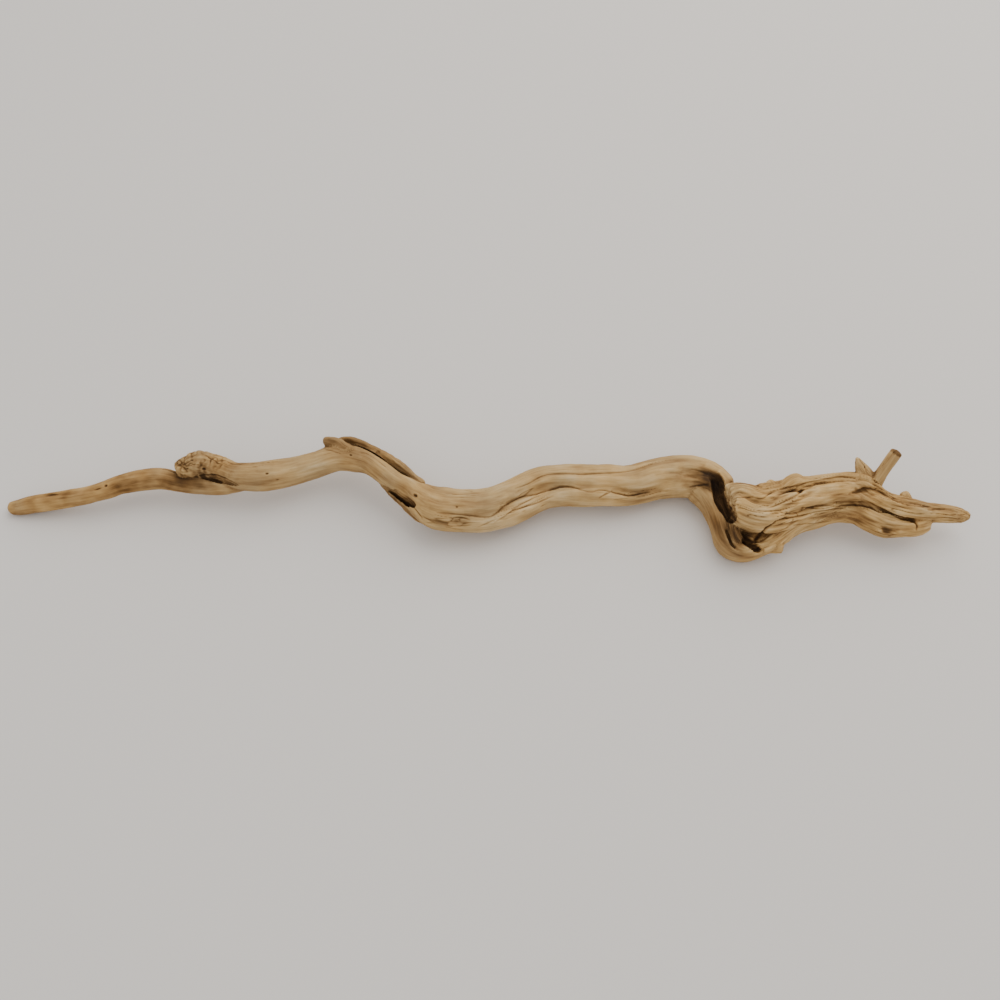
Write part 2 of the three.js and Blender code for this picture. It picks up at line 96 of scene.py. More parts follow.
# The limbs, with what sinks their surface: rows of (x, degrees, half width, depth) along each furrow
LIMBS = {
    "tail": Limb(cap=(4, 4), rough=(0.3, 0.4), path=[
        (-391, 1.5, 5.3, 4.4, 4.4), (-381, 1.2, 6.4, 6.8, 5.8), (-370, 2.2, 9, 7.4, 6.8),
        (-354, 3, 12, 7.3, 7), (-337, 4.5, 15, 7.4, 7.2), (-321, 6, 18, 7.2, 7.2),
        (-306, 10, 20, 7.8, 7.6), (-296, 14, 21, 8, 8), (-281, 17, 22, 8.8, 8.2), (-265, 19, 22, 8.8, 8),
        (-249, 16.5, 20, 7.6, 8), (-233, 14.5, 19, 7.2, 8), (-213, 13.5, 19.5, 7, 8),
        (-194, 14.5, 22, 5, 6),
    ], furrows=[
        # A shallow split along the top, near the tip
        [(-372, 10, 1.6, 0.2), (-356, 14, 1.8, 1.2), (-338, 8, 1.6, 0.2)],
    ]),
    "trunk": Limb(cap=(4, 7), rough=(0.5, 0.8), path=[
        (-252.5, 23.5, 31, 5, 6), (-243, 24, 31, 8.2, 9), (-234, 27, 31, 10.8, 10),
        (-223.5, 26, 30, 10, 10), (-213, 22, 29, 9.8, 10.5), (-201, 18.5, 27, 11.2, 11),
        (-182, 19, 26, 12.5, 12), (-162, 23, 25.5, 11.6, 11.5), (-142, 29, 26.5, 10.6, 11),
        (-121, 34.5, 29, 11, 11), (-102.5, 31, 30, 9.8, 11), (-92.5, 26, 30, 8.7, 11),
        (-82.5, 17, 30, 7.8, 11.5), (-73.5, 9.5, 29.5, 7.4, 12), (-65, 5, 28, 8, 12),
        (-55.5, -1.5, 26, 12.5, 13), (-40.5, -9, 24, 18.2, 14.5), (-20, -10.8, 22.5, 18, 15),
        (0, -9.6, 22, 18.2, 15.5), (21, -1.5, 22, 18.2, 15.5), (41, 9.5, 21.5, 18, 15.5),
        (62, 13, 21, 17.6, 15.5), (90, 13.5, 20, 17.8, 15), (115, 14.7, 19.2, 16.6, 15),
        (135, 21, 18.2, 16.8, 15.6), (154, 24, 16.8, 17.6, 16.6), (167, 21.8, 18.4, 17.2, 17),
        (177, 17, 21, 15.4, 17), (186, 10, 22, 12, 15.5), (193, 3.5, 22, 8, 12),
    ], furrows=[
        # The long shaded furrow along the front
        [(-44, -45, 3, 0.4), (-31, -42, 3, 1.4), (-12, -44, 3.5, 2.4), (6, -45, 4.5, 3.8),
         (15, -32, 6, 5.2), (25, -27, 7, 6.4), (46, -34, 6.5, 6.6), (58, -31, 5.2, 5.6), (68, -31, 4.2, 4),
         (90, -39, 3.8, 3), (103, -46, 3.6, 3), (113, -57, 3.4, 3.2), (130, -65, 3, 1.8),
         (140, -68, 3, 0.4)],
        # The second, lower furrow
        [(4, -74, 2.4, 0.4), (13, -63, 2.6, 2), (21, -51, 2.6, 2.2), (36, -57, 2.6, 2),
         (52, -55, 2.4, 0.4)],
        # The edge of the smooth upper ridge
        [(6, 0, 1.8, 0.3), (30, 0, 1.8, 1.1), (46, 7, 1.8, 1.5), (90, 8, 1.8, 1.4), (114, 15, 1.8, 1.2),
         (135, 20, 2, 1.6), (158, 21, 2.4, 2), (174, 21, 2.4, 1)],
        # A furrow on the hidden back, as deep as the front one
        [(-30, 120, 4, 0.4), (0, 112, 5, 3), (45, 125, 6, 4.2), (95, 140, 5, 3.6), (150, 130, 4, 0.6)],
        # The trunk's end dips into the deep hollow
        [(138, -20, 3, 0.3), (150, -20, 5, 2), (161, -18, 7, 4.5), (171, -14, 8, 6.5), (181, -8, 7, 5)],
        # The knotty pit near the crook
        [(-31, -66, 2.4, 0.3), (-26, -65, 3, 2.6), (-20, -62, 2.4, 0.3)],
    ]),
    "band": Limb(cap=(8, 1.5), rough=(0.4, 0.5), path=[
        (162.5, 15, 18, 10.5, 12), (171, 9, 17, 10, 12.4), (177.5, -0.5, 16, 8.8, 13),
        (181.8, -11.5, 15, 8.2, 13.4), (184, -23, 14.4, 8, 13.6), (185.5, -33, 14.4, 7.8, 13.4),
        (190, -40.5, 14.4, 7, 13.2), (199.5, -44.2, 14.4, 6, 13), (210, -43.5, 16.5, 5, 11),
        (219, -41.5, 18.5, 3.8, 8.5), (224.5, -42.5, 20, 3.8, 6.5), (230, -44.5, 21, 3.6, 4.5),
    ], furrows=[
        # Its inner side is scooped out, which leaves a thin rim outside
        [(171, 26, 3, 0.3), (179, 28, 4, 2.2), (185, 30, 4, 3), (196, 30, 3.6, 2.6), (208, 28, 3, 1.6),
         (217, 25, 2.4, 0.3)],
    ]),
    "neck": Limb(cap=(6, 6), rough=(0.5, 0.5), path=[
        (176.5, 20.5, 14, 8, 9), (185, 6.5, 14, 9.6, 10), (193, -10.5, 14, 10.4, 10),
        (200.5, -26, 15, 10, 10), (211.5, -34, 17, 8.6, 9.5), (224.5, -35, 19, 7, 8),
    ]),
    "head": Limb(cap=(3, 4), rough=(1.5, 0.8), path=[
        (188, -12, 31, 15, 13.5), (193.5, -10.5, 31, 17.5, 15), (199, -12.5, 32, 19.2, 16.5),
        (206, -15.8, 32.5, 20.6, 17.2), (215, -16.6, 33, 21.2, 17.5), (225.5, -13.8, 33.5, 20, 17),
        (236, -10.5, 33.5, 18.6, 16.5), (247, -7.5, 33.5, 18, 16), (258.5, -5, 33, 16.9, 15.5),
        (273.5, -0.5, 32, 15.8, 15), (290, 1, 31, 15.8, 14), (301, -4, 30, 13.8, 13),
        (312, -9.5, 29, 10.2, 11.5), (324, -13, 28, 8.8, 10), (336.5, -14.5, 27, 8.3, 8.8),
        (350, -15, 26, 7.8, 7.6), (361, -15, 25, 7.6, 6.9), (369, -15.4, 24, 6.6, 6),
        (375.5, -16.6, 23, 5.2, 4.8), (380, -18, 22.5, 3.2, 3.2),
    ], furrows=[
        # Below the thin strand along the top edge
        [(196, -13, 2.2, 0.5), (207, -8, 2.4, 2), (217, -10, 2.4, 2.4), (224, 5, 2.6, 2.8),
         (232, 14, 2.8, 3.2), (243, 8, 2.8, 3.4), (255, 16, 2.8, 3.4), (268, 18, 2.6, 3),
         (279, 20, 2.4, 2), (290, 15, 2.4, 0.6)],
        # A short crack that runs into a small knot
        [(214, -42, 1.8, 0.4), (226, -33, 2, 1.8), (236, -23, 2.2, 2.2), (247, -10, 2.8, 3),
         (252, -6, 2.4, 0.6)],
        # The main fissure, between the head and its front strand
        [(212, -72, 2.4, 1), (228, -55, 2.6, 2.8), (240, -62, 2.6, 3), (253, -54, 2.6, 3),
         (265, -57, 2.6, 3.4), (278, -70, 3, 4.4), (291, -72, 3.2, 5), (301, -64, 3, 5),
         (309, -69, 2.8, 4.6), (324, -88, 2.6, 3), (334, -92, 2.4, 1)],
        # The hollow under the lit ridge
        [(280, -36, 3, 0.6), (292, -18, 4.5, 4), (300, -3, 4.8, 5), (307, 9, 4, 3.6), (316, 20, 3, 2),
         (325, 8, 2.4, 0.5)],
        # A fissure on the hidden back
        [(196, 120, 3, 0.6), (222, 105, 4.5, 4), (255, 118, 5, 5), (290, 108, 4, 3.6), (322, 122, 3, 0.6)],
    ]),
    "front": Limb(cap=(4, 3), rough=(0.8, 0.8), path=[
        (209.5, -43.5, 19, 4.4, 6), (216, -41, 20, 6.6, 8), (222.5, -37, 21, 8, 9),
        (229, -31.5, 22, 8.6, 9.5), (236, -27, 23, 7.8, 9.5), (244, -23.8, 24, 6.8, 9),
        (255.5, -20, 24, 6.7, 9), (273.5, -13.8, 24, 7, 9), (289.5, -14.5, 23, 7.2, 9.5),
        (301, -19.5, 22, 8.3, 10), (313.5, -23.5, 20, 9.5, 10), (326, -24, 19, 8.4, 9),
        (338.5, -23, 20, 8, 8.5), (348, -19.5, 21, 5.5, 7),
    ], furrows=[
        # The knot hole near the right end
        [(306, -52, 2, 0.2), (311, -56, 4, 3.5), (316, -58, 4.2, 4), (321, -58, 2.4, 0.4)],
    ]),
    "top_strand": Limb(cap=(3, 3), rough=(0.5, 0.5), path=[
        (227.5, -5, 43, 4, 4), (233, -1, 45, 5.5, 5.5), (239.5, 2, 46, 6, 5.6), (245.5, 1.5, 45.5, 4.8, 5),
        (260.5, 4, 45, 4.4, 5), (275.5, 7, 43, 4.2, 5), (288, 7.5, 41, 4.4, 5), (298, 4.5, 39, 4.4, 5),
        (307.5, 1, 35, 3.6, 4),
    ]),
    "twig": Limb(cap=(2, 4), rough=(0.2, 0.2), path=[
        (-135, 45.5, 36, 3.6, 3.8), (-129.5, 45, 36.5, 4, 4), (-122.5, 43, 37, 4.4, 4.4),
        (-115, 37.5, 37, 4.8, 4.4), (-107, 33.5, 36, 4, 4),
    ]),
    "fin": Limb(cap=(3, 4), rough=(0.25, 0.25), path=[
        (-127, 47, 31, 2.4, 4), (-119.5, 48.5, 31, 2.8, 6), (-110, 47.5, 30, 3.2, 7.5),
        (-100, 43.5, 29.5, 3.4, 8), (-90, 38, 29, 3.2, 8), (-78, 30, 29, 3.5, 8),
        (-68.5, 22.5, 28.5, 3.7, 8), (-60, 15.5, 27, 3.4, 7), (-52, 8.5, 26, 3.4, 6),
    ]),
    "sliver": Limb(cap=(3, 4), rough=(0.2, 0.3), path=[
        (-87, 14, 25, 2.4, 4), (-79.5, 8, 21.5, 2.8, 6), (-70.5, 0, 19.5, 3, 7),
        (-62.5, -7.5, 18.5, 3.2, 8), (-54, -14.5, 18, 3.8, 8.5), (-42, -19.5, 19, 4.6, 9),
    ]),
    "long_stub": Limb(cap=(2, 1.2), rough=(0.2, 0.2), path=[
        (301, 1, 28, 8, 7.5), (306, 7, 37, 5.6, 5.8), (311.5, 14, 47, 4.9, 5), (319, 22.5, 58.5, 4.7, 4.8),
    ]),
    "short_stub": Limb(cap=(2, 1.5), rough=(0.3, 0.3), path=[
        (301, 4, 30, 11, 8), (297, 11.5, 38, 8.2, 5.4), (292.5, 16, 44.5, 5.2, 3.6),
        (289.5, 19.5, 49.5, 2.4, 1.5), (288, 20.8, 51.5, 0.9, 0.8),
    ]),
    "back_nub": Limb(cap=(2, 1.5), rough=(0.3, 0.3), path=[
        (331, -9, 27, 5, 5), (328.5, -4, 32, 4.4, 4), (326.5, -1, 35, 3, 2.8),
    ]),
    "edge_nub": Limb(cap=(2, 1.5), rough=(0.3, 0.3), path=[
        (223, -3, 40, 6, 6), (220.5, 3, 42, 3.6, 3), (219.5, 5.4, 43, 2.4, 2.2),
    ]),
    "inner_lobe": Limb(cap=(3, 3), rough=(0.5, 0.5), path=[
        (191, -19.5, 24, 3.2, 5), (191, -28, 25, 4.2, 7), (192.5, -36.5, 24, 4.7, 8),
        (196, -42, 21, 3.5, 6),
    ]),
}

# Hollows, cut out of the joined wood
HOLLOWS = [
    # The deep hollow inside the fold, and the crevice that runs down from it
    Limb(cap=(3, 3), path=[
        (169, 22, 41, 1.8, 3), (175, 18, 40, 3.2, 7), (180, 10.5, 39, 5, 11), (181.5, 2, 37, 5.2, 13),
        (182, -6, 36, 4.4, 14), (184.5, -14, 35, 3.2, 14), (188, -21.5, 34, 2.3, 13),
        (191.5, -28, 33, 1.6, 9),
    ]),
    # The curved crack between the fold and the lobe inside it
    Limb(cap=(2, 2), path=[
        (185, -27, 28, 0.7, 3), (186, -35, 28, 1, 5), (188.5, -42.5, 28, 1.1, 6),
        (193.5, -47, 27, 1.1, 5), (199, -49.5, 26, 0.8, 4),
    ]),
    # The cave under the start of the head's front strand
    Limb(cap=(3, 3), path=[
        (195.5, -39.5, 28, 1.6, 5), (201, -42.5, 27, 2.7, 7), (207, -45.5, 26, 3, 7),
        (213, -48.5, 26, 2.1, 5), (217.5, -49.5, 25, 1, 3),
    ]),
    # The crack between the knob and the tail
    Limb(cap=(2, 3), path=[
        (-234, 18, 27, 0.7, 2), (-228, 16.4, 29.5, 1, 5), (-219.5, 13.9, 30, 1.5, 6),
        (-212.5, 11.7, 30.5, 1.2, 5), (-205, 9.2, 30, 0.8, 4), (-199, 7.4, 29, 0.6, 2.5),
    ]),
    # The gap between the trunk and the fin behind it
    Limb(cap=(2, 2), path=[
        (-123, 45.3, 36, 0.7, 2), (-114, 43.4, 36, 0.8, 3), (-103, 39.6, 36, 0.9, 4), (-91, 32.5, 36, 1, 4),
        (-78, 22.8, 36, 0.9, 4), (-68, 15.5, 36, 0.7, 3),
    ]),
    # The gap between the trunk and the sliver in front of it
    Limb(cap=(2, 2), path=[
        (-86, 10, 26, 0.8, 3), (-78, 5, 26, 1.1, 7), (-71, -0.6, 27, 1.6, 9), (-65, -5.8, 28, 2.1, 10),
        (-60.5, -9.8, 28, 2.1, 9), (-58, -12, 27, 1.2, 6),
    ]),
]

# What the photograph shows on the wood, as rows of (pixel x, pixel y, half width, depth) along each line, in mm
CRACKS = [
    # The long shaded furrow's sharp bottom
    [(437, 512.7, 0.5, 0.3), (464, 515, 0.6, 0.6), (487, 517, 0.7, 0.8), (497, 512.7, 0.9, 0.9),
     (508, 503.8, 1, 0.8), (521, 497.4, 1, 0.8), (533, 494.5, 1, 1), (547, 490.5, 1, 1.2),
     (560, 487, 1, 1.3), (572, 487, 0.7, 0.8), (590, 492, 0.5, 0.5), (600, 490, 0.5, 0.6),
     (617, 493, 0.8, 1.2), (629, 495.5, 0.9, 1.4), (640, 493.6, 0.7, 0.9), (650, 492, 0.5, 0.4)],
    # Where the loose sliver grows back into the trunk
    [(414, 508, 0.5, 0.8), (418, 513, 0.6, 1), (422, 518, 0.5, 0.6)],
    # The lower furrow
    [(494, 523, 0.6, 0.2), (505, 516.5, 0.8, 0.8), (515, 509.5, 0.9, 1), (534, 503.8, 0.8, 0.9),
     (553, 496, 0.5, 0.3)],
    # The edge of the smooth upper ridge
    [(515, 488.5, 0.4, 0.3), (528, 484, 0.6, 0.6), (543, 475.7, 0.5, 0.5), (559, 473.8, 0.6, 0.7),
     (600, 473.4, 0.7, 0.8), (629, 471, 0.6, 0.5), (652, 464, 0.5, 0.4)],
    # A forked crack in the lower trunk
    [(599.5, 498, 0.5, 0.4), (606, 494, 0.8, 1), (612, 491, 0.6, 0.6)],
    [(461, 531, 0.4, 0.3), (468, 533, 0.6, 0.6), (475, 534, 0.4, 0.2)],
    # The oval scar of a branch near the bend, and the wrinkles round it
    [(450, 519.5, 0.4, 0.2), (456, 517.6, 0.7, 0.7), (463, 517.8, 0.8, 0.8), (470, 520, 0.4, 0.3)],
    [(457, 525.4, 0.4, 0.3), (465, 525.8, 0.6, 0.5), (471, 525, 0.4, 0.2)],
    [(446, 527, 0.4, 0.3), (455, 529, 0.6, 0.6), (463, 529.5, 0.4, 0.3)],
    [(478, 527, 0.4, 0.3), (487, 523.5, 0.6, 0.6), (496, 519, 0.4, 0.3)],
    # Hairlines on the smooth trunk
    [(324.5, 448.7, 0.4, 0.3), (333, 451, 0.6, 0.5), (341, 453.8, 0.4, 0.2)],
    # The crack between the knob and the tail
    [(200, 475.5, 0.6, 0.6), (207, 475.3, 1.4, 1.8), (217, 476, 1.3, 2), (226, 479.3, 0.9, 1.4),
     (233, 482.5, 0.6, 0.9), (239, 485.7, 0.4, 0.3)],
    [(160, 469, 0.4, 0.3), (168, 470, 0.8, 0.9), (176, 472.5, 0.8, 1)],
    # The trunk's streaks beside the fold
    [(691, 469, 0.5, 0.3), (700, 471, 0.8, 0.6), (707, 474, 1, 0.8)],
    [(690, 487, 0.6, 0.4), (699, 485.5, 0.9, 0.8), (707, 484.6, 1, 0.8)],
    # Between the head and its front strand
    [(755, 540, 1.4, 2), (764, 531, 1.2, 2), (772, 524.7, 1, 1.6), (782, 519.6, 0.9, 1.4),
     (797, 516.5, 0.8, 1.2), (823, 511.4, 0.7, 1), (845, 508, 0.6, 0.6)],
    # The head's main dark crack
    [(835, 508, 0.5, 0.3), (843, 505.5, 0.7, 1), (856, 505, 0.8, 1.5), (869, 507, 0.8, 1.5),
     (878, 511, 0.7, 1.2), (888, 513.5, 0.6, 1), (901, 518.6, 0.7, 1.3), (912.6, 520.6, 1.1, 1.9),
     (917, 525, 0.9, 1.6), (916.5, 530, 0.6, 0.8)],
    # Cracks along the top of the head
    [(736, 498, 0.6, 0.4), (751, 497, 0.8, 0.8), (762, 498.5, 0.8, 0.9), (772, 492, 0.8, 0.9),
     (782, 489, 0.9, 1.1), (797, 486, 0.9, 1.1), (812, 482, 0.8, 1), (828.5, 479, 0.8, 1),
     (841, 477, 0.8, 0.9), (856, 478, 0.6, 0.5)],
    [(849, 494, 0.8, 0.6), (862, 490, 1.4, 1.4), (869, 489, 1.6, 1.6), (877, 491, 1.4, 1.4),
     (888, 496, 1.1, 1), (900, 502.7, 0.7, 0.4)],
    [(767, 508, 0.5, 0.4), (777, 505, 0.8, 0.9), (787, 500, 0.9, 1.1), (794, 496.6, 1.2, 1.6),
     (802, 491, 1.4, 1.8)],
    [(780, 512, 0.5, 0.4), (793, 514, 0.7, 0.8), (810.6, 507.8, 0.8, 0.9), (824.6, 505.3, 0.8, 0.9),
     (840, 506.5, 0.5, 0.3)],
    [(793, 525, 0.5, 0.4), (812, 524, 0.7, 0.7), (831, 521, 0.5, 0.3)],
    [(925, 509, 0.4, 0.3), (935, 508.5, 0.7, 0.7), (945, 509, 0.4, 0.3)],
    # The split near the tail's tip
    [(43, 495, 0.5, 0.3), (51, 494.3, 1.1, 1), (58, 494.6, 0.5, 0.3)],
]

# Painted shade and light, where the photograph shows the wood darker, or lighter where the last number is below
# 0;
# the branch's scar alone is the wood's own. (pixel x, pixel y, half width in mm, by how much)
SHADES = [
    # The scar of the branch
    [(452, 521, 2, 0.04), (458, 521, 3, 0.14), (465, 522, 3, 0.14), (471, 523, 2, 0.05)],
    # Painted shade into the deep hollow, and down the crevice
    [(680, 478, 4, 0.04), (694, 478, 5, 0.2), (705, 480, 6, 0.42), (713, 484, 6, 0.5)],
    [(703, 468, 3, 0.2), (711, 477, 5, 0.5), (718, 489, 5, 0.6), (724, 500, 4.5, 0.6),
     (731, 511, 3.5, 0.5), (737, 520, 2.5, 0.3)],
    # Painted shade round the lobe inside the fold, and on the fold's own inner side
    [(728, 526, 3, 0.15), (735, 536, 4, 0.26), (742, 545, 4, 0.26)],
    [(706, 500, 4, 0.06), (712, 511, 5, 0.13), (718, 526, 5, 0.18), (725, 542, 4, 0.2), (735, 553, 3, 0.2),
     (747, 557, 3, 0.2), (758, 555, 3, 0.08)],
    # Below the head's main crack, and above it: painted shade, and painted light where the amount is below 0
    [(812, 519, 2.5, 0.08), (830, 516, 3, 0.24), (850, 518, 3.5, 0.42), (868, 522, 3, 0.3),
     (880, 526, 2.5, 0.1)],
    [(835, 497, 3, 0.14), (850, 496, 4, 0.26), (865, 497, 4, 0.28), (880, 502, 3, 0.14)],
    [(885, 507, 2.5, -0.08), (900, 511, 3, -0.18), (912, 513, 2.5, -0.12)],
    [(770, 523, 3, 0.04), (785, 519, 4, 0.08), (800, 515, 4, 0.12), (818, 511, 3, 0.06)],
    [(765, 503, 3, 0.03), (780, 500, 4, 0.08), (795, 503, 3, 0.04)],
    [(800, 488, 3, -0.05), (830, 485, 4, -0.08), (850, 484, 3, -0.05)],
    # Painted light along the back of the trunk
    [(505, 492, 4, -0.05), (522, 487, 5, -0.09), (545, 480, 4, -0.05)],
    [(285, 470, 5, -0.04), (305, 467, 6, -0.08), (325, 460, 5, -0.04)],
    # Painted shade on the lower edge of the bend, and on the outer side of the front strand
    [(440, 526, 3, 0.04), (455, 528, 3, 0.08), (475, 529, 3, 0.1), (495, 526, 3, 0.06)],
    [(880, 524, 3, 0.04), (895, 529, 4, 0.09), (910, 531, 4, 0.06)],
    # Painted shade on the underside of the tail
    [(135, 482, 3, 0.04), (150, 479, 4, 0.1), (163, 478, 3, 0.04)],
    [(160, 481, 3, 0.05), (180, 484, 3.5, 0.14), (200, 486, 3, 0.12), (215, 487, 2.5, 0.04)],
]

# Wormholes, pits and knots: (pixel x, pixel y, half length along the grain, half width, depth)
PITS = [
    (105.9, 485.7, 1.2, 0.9, 1.2), (98, 489, 2.6, 0.7, 0.6), (192, 460, 1, 0.7, 0.8),
    (187, 469, 1.1, 0.7, 0.8), (204, 469, 1.3, 0.9, 1.3), (267, 473.6, 1.2, 0.7, 1.2),
    (277.5, 479.7, 1.2, 0.5, 0.4), (350.7, 455, 1.1, 0.7, 0.8), (378, 452, 1.6, 1.2, 1.6),
    (415.3, 495.5, 1.6, 1.1, 1.6), (456.8, 507, 0.8, 0.6, 0.7), (886, 531, 4, 2, 1.4),
    (802, 491, 2, 1.4, 1.2), (913, 521, 2.2, 1.4, 1.1), (524, 511, 2, 0.8, 0.4), (543, 506, 2.4, 0.8, 0.4),
    (865, 467, 1, 0.9, 0.9),
]


# How strong the fine fibres are on each limb, in mm
FIBRES = {
    "tail": 0.18, "trunk": 0.22, "band": 0.3, "neck": 0.5, "head": 0.8, "front": 0.7, "top_strand": 0.5,
    "twig": 0.35, "fin": 0.5, "sliver": 0.4, "long_stub": 0.25, "short_stub": 0.4, "back_nub": 0.4,
    "edge_nub": 0.4, "inner_lobe": 0.8,
}
FIBRE_CRESTS = ((19, 1), (31, 0.8), (47, 0.6))
FIBRE_RIDGES = 0.3  # the share of a limb's fibres that its fine ridges have
LIMBS_APART = 400  # mm between the starts of the limbs' grain, so that no two share a pattern

# Patterns of noise: strength, size of the features in mm, seed. Three sizes are along the grain and across it,
# or along X, Y and Z for the flake.
PATTERNS = {
    "patch": (0.5, 17, 12), "fold": (1, (38, 4.6, 4.6), 10), "fine fold": (1, (17, 2, 2), 11),
    "swell": (0.35, 11, 1), "bump": (0.12, 3.4, 2), "flake": (0.7, (6, 4, 3), 16),
    "knob edge": (9, 9, 23), "lump": (0.9, 5, 13), "small lump": (0.5, 2.4, 15), "crevice": (1, 3.4, 3),
    "crevice gate": (1, 7, 4), "hairline": (1, (42, 2.4, 2.4), 6), "hairline gate": (3, (30, 9, 9), 7),
    "ragged": (0.25, 2.2, 5), "broken": (0.35, 6, 14),
    "tail blotch": (0.08, 8, 17), "tail speck": (0.06, 3.5, 18), "broad tone": (0.05, 26, 8),
    "small tone": (0.04, 7, 19), "grain speck": (0.16, (8, 1.3, 1.3), 21), "knob speck": (0.1, 1.6, 22),
    "warm patch": (0.4, 16, 9), "warm speck": (0.25, 6, 20),
}
FOLD_HEIGHT = 2.4
FOLD_SINK = 0.8
PATCH_MEAN = 0.7
FINE_FOLD_SHARE = 0.5
CREVICE_MEAN = 0.4
CREVICE_WIDTH = 0.18
CREVICE_DEPTH = 0.8  # mm
HAIRLINE_WIDTH = 0.06
HAIRLINE_DEPTH = 0.2  # mm
HAIRLINE_DEPTH_BY_FIBRE = 0.6
HAIRLINES_BY_FIBRE = 1.2
HAIRLINE_GATE = 0.76
BROKEN_MEAN = 0.75
CRACK_BLACK = 2.7  # mm deep, where a crack's painted shade is as dark as it gets
PIT_BLACK = 1.8  # mm deep, the same for a pit

KNOB_END = -203  # mm along X, where the rough knob gives way to the smooth trunk
KNOB_FADE = 16  # mm
STUB_END = 317.5  # mm along X, where the long stub's broken end begins
HOLLOW_DARK = 5  # mm below the uncut skin, where a hollow's painted shade is darkest
RAYS = 12
REACH = 14  # mm
SPREAD = 0.95  # of the rays, round the surface's own direction
LIFT = 0.3  # mm over the surface, where the rays start

# The wood's tone along X: 0 is nearly black, 1 is bleached. Then how warm its brown is, from 0 to 1.
TONES = (
    (-390, 0.49, 0.9), (-350, 0.57, 1), (-300, 0.52, 0.9), (-255, 0.48, 0.7), (-225, 0.52, 0.4),
    (-190, 0.58, 0.35), (-120, 0.6, 0.35), (-95, 0.56, 0.5), (-60, 0.6, 0.45), (-20, 0.68, 0.3),
    (25, 0.72, 0.4), (90, 0.69, 0.45), (150, 0.66, 0.45), (190, 0.62, 0.45), (215, 0.69, 0.8),
    (270, 0.655, 1), (320, 0.62, 0.75), (380, 0.62, 0.5),
)
LIMB_TONES = {"band": -0.04, "neck": -0.12, "twig": -0.14, "fin": -0.18, "sliver": -0.14, "inner_lobe": -0.1}
STUB_COOLER = 0.5  # how much less warm the two stubs are

# How much painted shade darkens the wood in valleys, creases, shelter, hollows, cracks, pits and crevices, how
# much the hairlines darken it, and how much darker the long stub's broken end is. The thin strands are lit on
# their inner faces, so painted shade in shelter and hollows darkens them less.
VALLEY_SHADE = 0.1
CREASE_SHADE = 0.3
SHELTER_SHADE = 0.2
DEEP_SHELTER = 0.48  # the share of the sky that is shut out where deep shelter begins
DEEP_SHELTER_SHADE = 1.5
HOLLOW_SHADE = 0.6
FLAKY_SHARE = 0.35
CRACK_SHADE = 0.6
HAIRLINE_DIRT = 0.2
CREVICE_SHADE = 0.12
BROKEN_END_DARKER = 0.38

# The darkest tones, and how sharply the tone stops falling there
DARKEST = 0.2
DARKEST_FLAKY = 0.5
# Inside the hollows the darkest tone is lower still: painted shade
DARKER_INSIDE = 0.1
SOFTNESS = 16

# Colours of the wood by tone, and what multiplies them where it is warm
WOOD_RAMP = (
    (0.0, (0.012, 0.006, 0.003)), (0.2, (0.06, 0.03, 0.011)), (0.38, (0.17, 0.092, 0.033)),
    (0.55, (0.335, 0.208, 0.09)), (0.72, (0.49, 0.332, 0.152)), (0.9, (0.63, 0.465, 0.255)),
)
WARM_BROWN = (1.05, 0.93, 0.72)

# The material's lines: features for each metre along and across the grain, detail, place, strength in tone
LINES = {
    "streaks": ((28, 520), 5, 0.3, 0.32),
    "fibres": ((70, 1500), 3, 1.7, 0.2),
    "stains": ((30, 90), 4, 4.1, 0.6),
}
ROUGHNESS = 0.62
ROUGHER_STREAKS = 0.25
BUMP_SHARES = {"streaks": 0.6, "fibres": 0.4}

FLOOR_SIZE = 12  # m, each way from the middle
FLOOR_COLOUR = (0.75, 0.71, 0.665)
WORLD_LIGHT = 0.79

# Turns the noise's cells, so that no line of them lies along the wood
TURN = np.array(((0.36, 0.48, -0.8), (-0.8, 0.6, 0), (0.48, 0.64, 0.6)))
# Whole numbers that scatter a cell's place and the seed into bits without an order
SCATTER = (73856093, 19349663, 83492791, 2654435761, 1274126177)
# The same on a line: what multiplies the place, the seed and their sine
LINE_SCATTER = (12.9898, 78.233, 43758.5453)


def wobble(x, seed):
    """Smooth noise from -1 to 1 along a line"""
    def value(i):
        by_place, by_seed, by_sine = LINE_SCATTER
        s = np.sin(i * by_place + seed * by_seed) * by_sine
        return s - np.floor(s)

    i = np.floor(x)
    f = x - i
    ease = f * f * (3 - 2 * f)
    return 2 * (value(i) * (1 - ease) + value(i + 1) * ease) - 1


def noise(points, seed):
    """Smooth noise from -1 to 1 in space, one feature for each unit"""
    turned = points @ TURN
    cell = np.floor(turned).astype(np.int64)
    f = turned - cell
    f = f * f * (3 - 2 * f)
    total = np.zeros(len(points))
    for corner in range(8):
        step = np.array([(corner >> k) & 1 for k in range(3)])
        x, y, z = ((cell + step) & 0xFFFFF).T
        mixed = (x * SCATTER[0]) ^ (y * SCATTER[1]) ^ (z * SCATTER[2]) ^ (seed * SCATTER[3])
        mixed = ((mixed ^ (mixed >> 13)) * SCATTER[4]) & 0x7FFFFFFF
        mixed ^= mixed >> 16
        share = np.prod(np.where(step, f, 1 - f), axis=1)
        total += share * ((mixed & 0xFFFF) / 32767.5 - 1)
    return total


def pattern(name, points):
    """One of the named patterns at each point"""
    strength, size, seed = PATTERNS[name]
    return strength * noise(points / size, seed)


def ridges(x, angle, crests=CRESTS):
    """Rounded ridges with sharp valleys, which wind along a limb; the mean height is 0"""
    height = np.zeros(np.broadcast(x, angle).shape)
    for count, share in crests:
        turn = count * (angle + TWIST * x) + WANDER * wobble(x / WANDER_LENGTH, count)
        swell = SWELL_MEAN + SWELL * wobble(x / SWELL_LENGTH, count + SWELL_SEED)
        height += share * swell * (2 * np.abs(np.cos(turn / 2)) - 4 / math.pi)
    return height


def folds(name, points):
    """The named pattern as rounded folds with sharp creases, from about -1 to 1"""
    return FOLD_HEIGHT * np.abs(pattern(name, points)) - FOLD_SINK


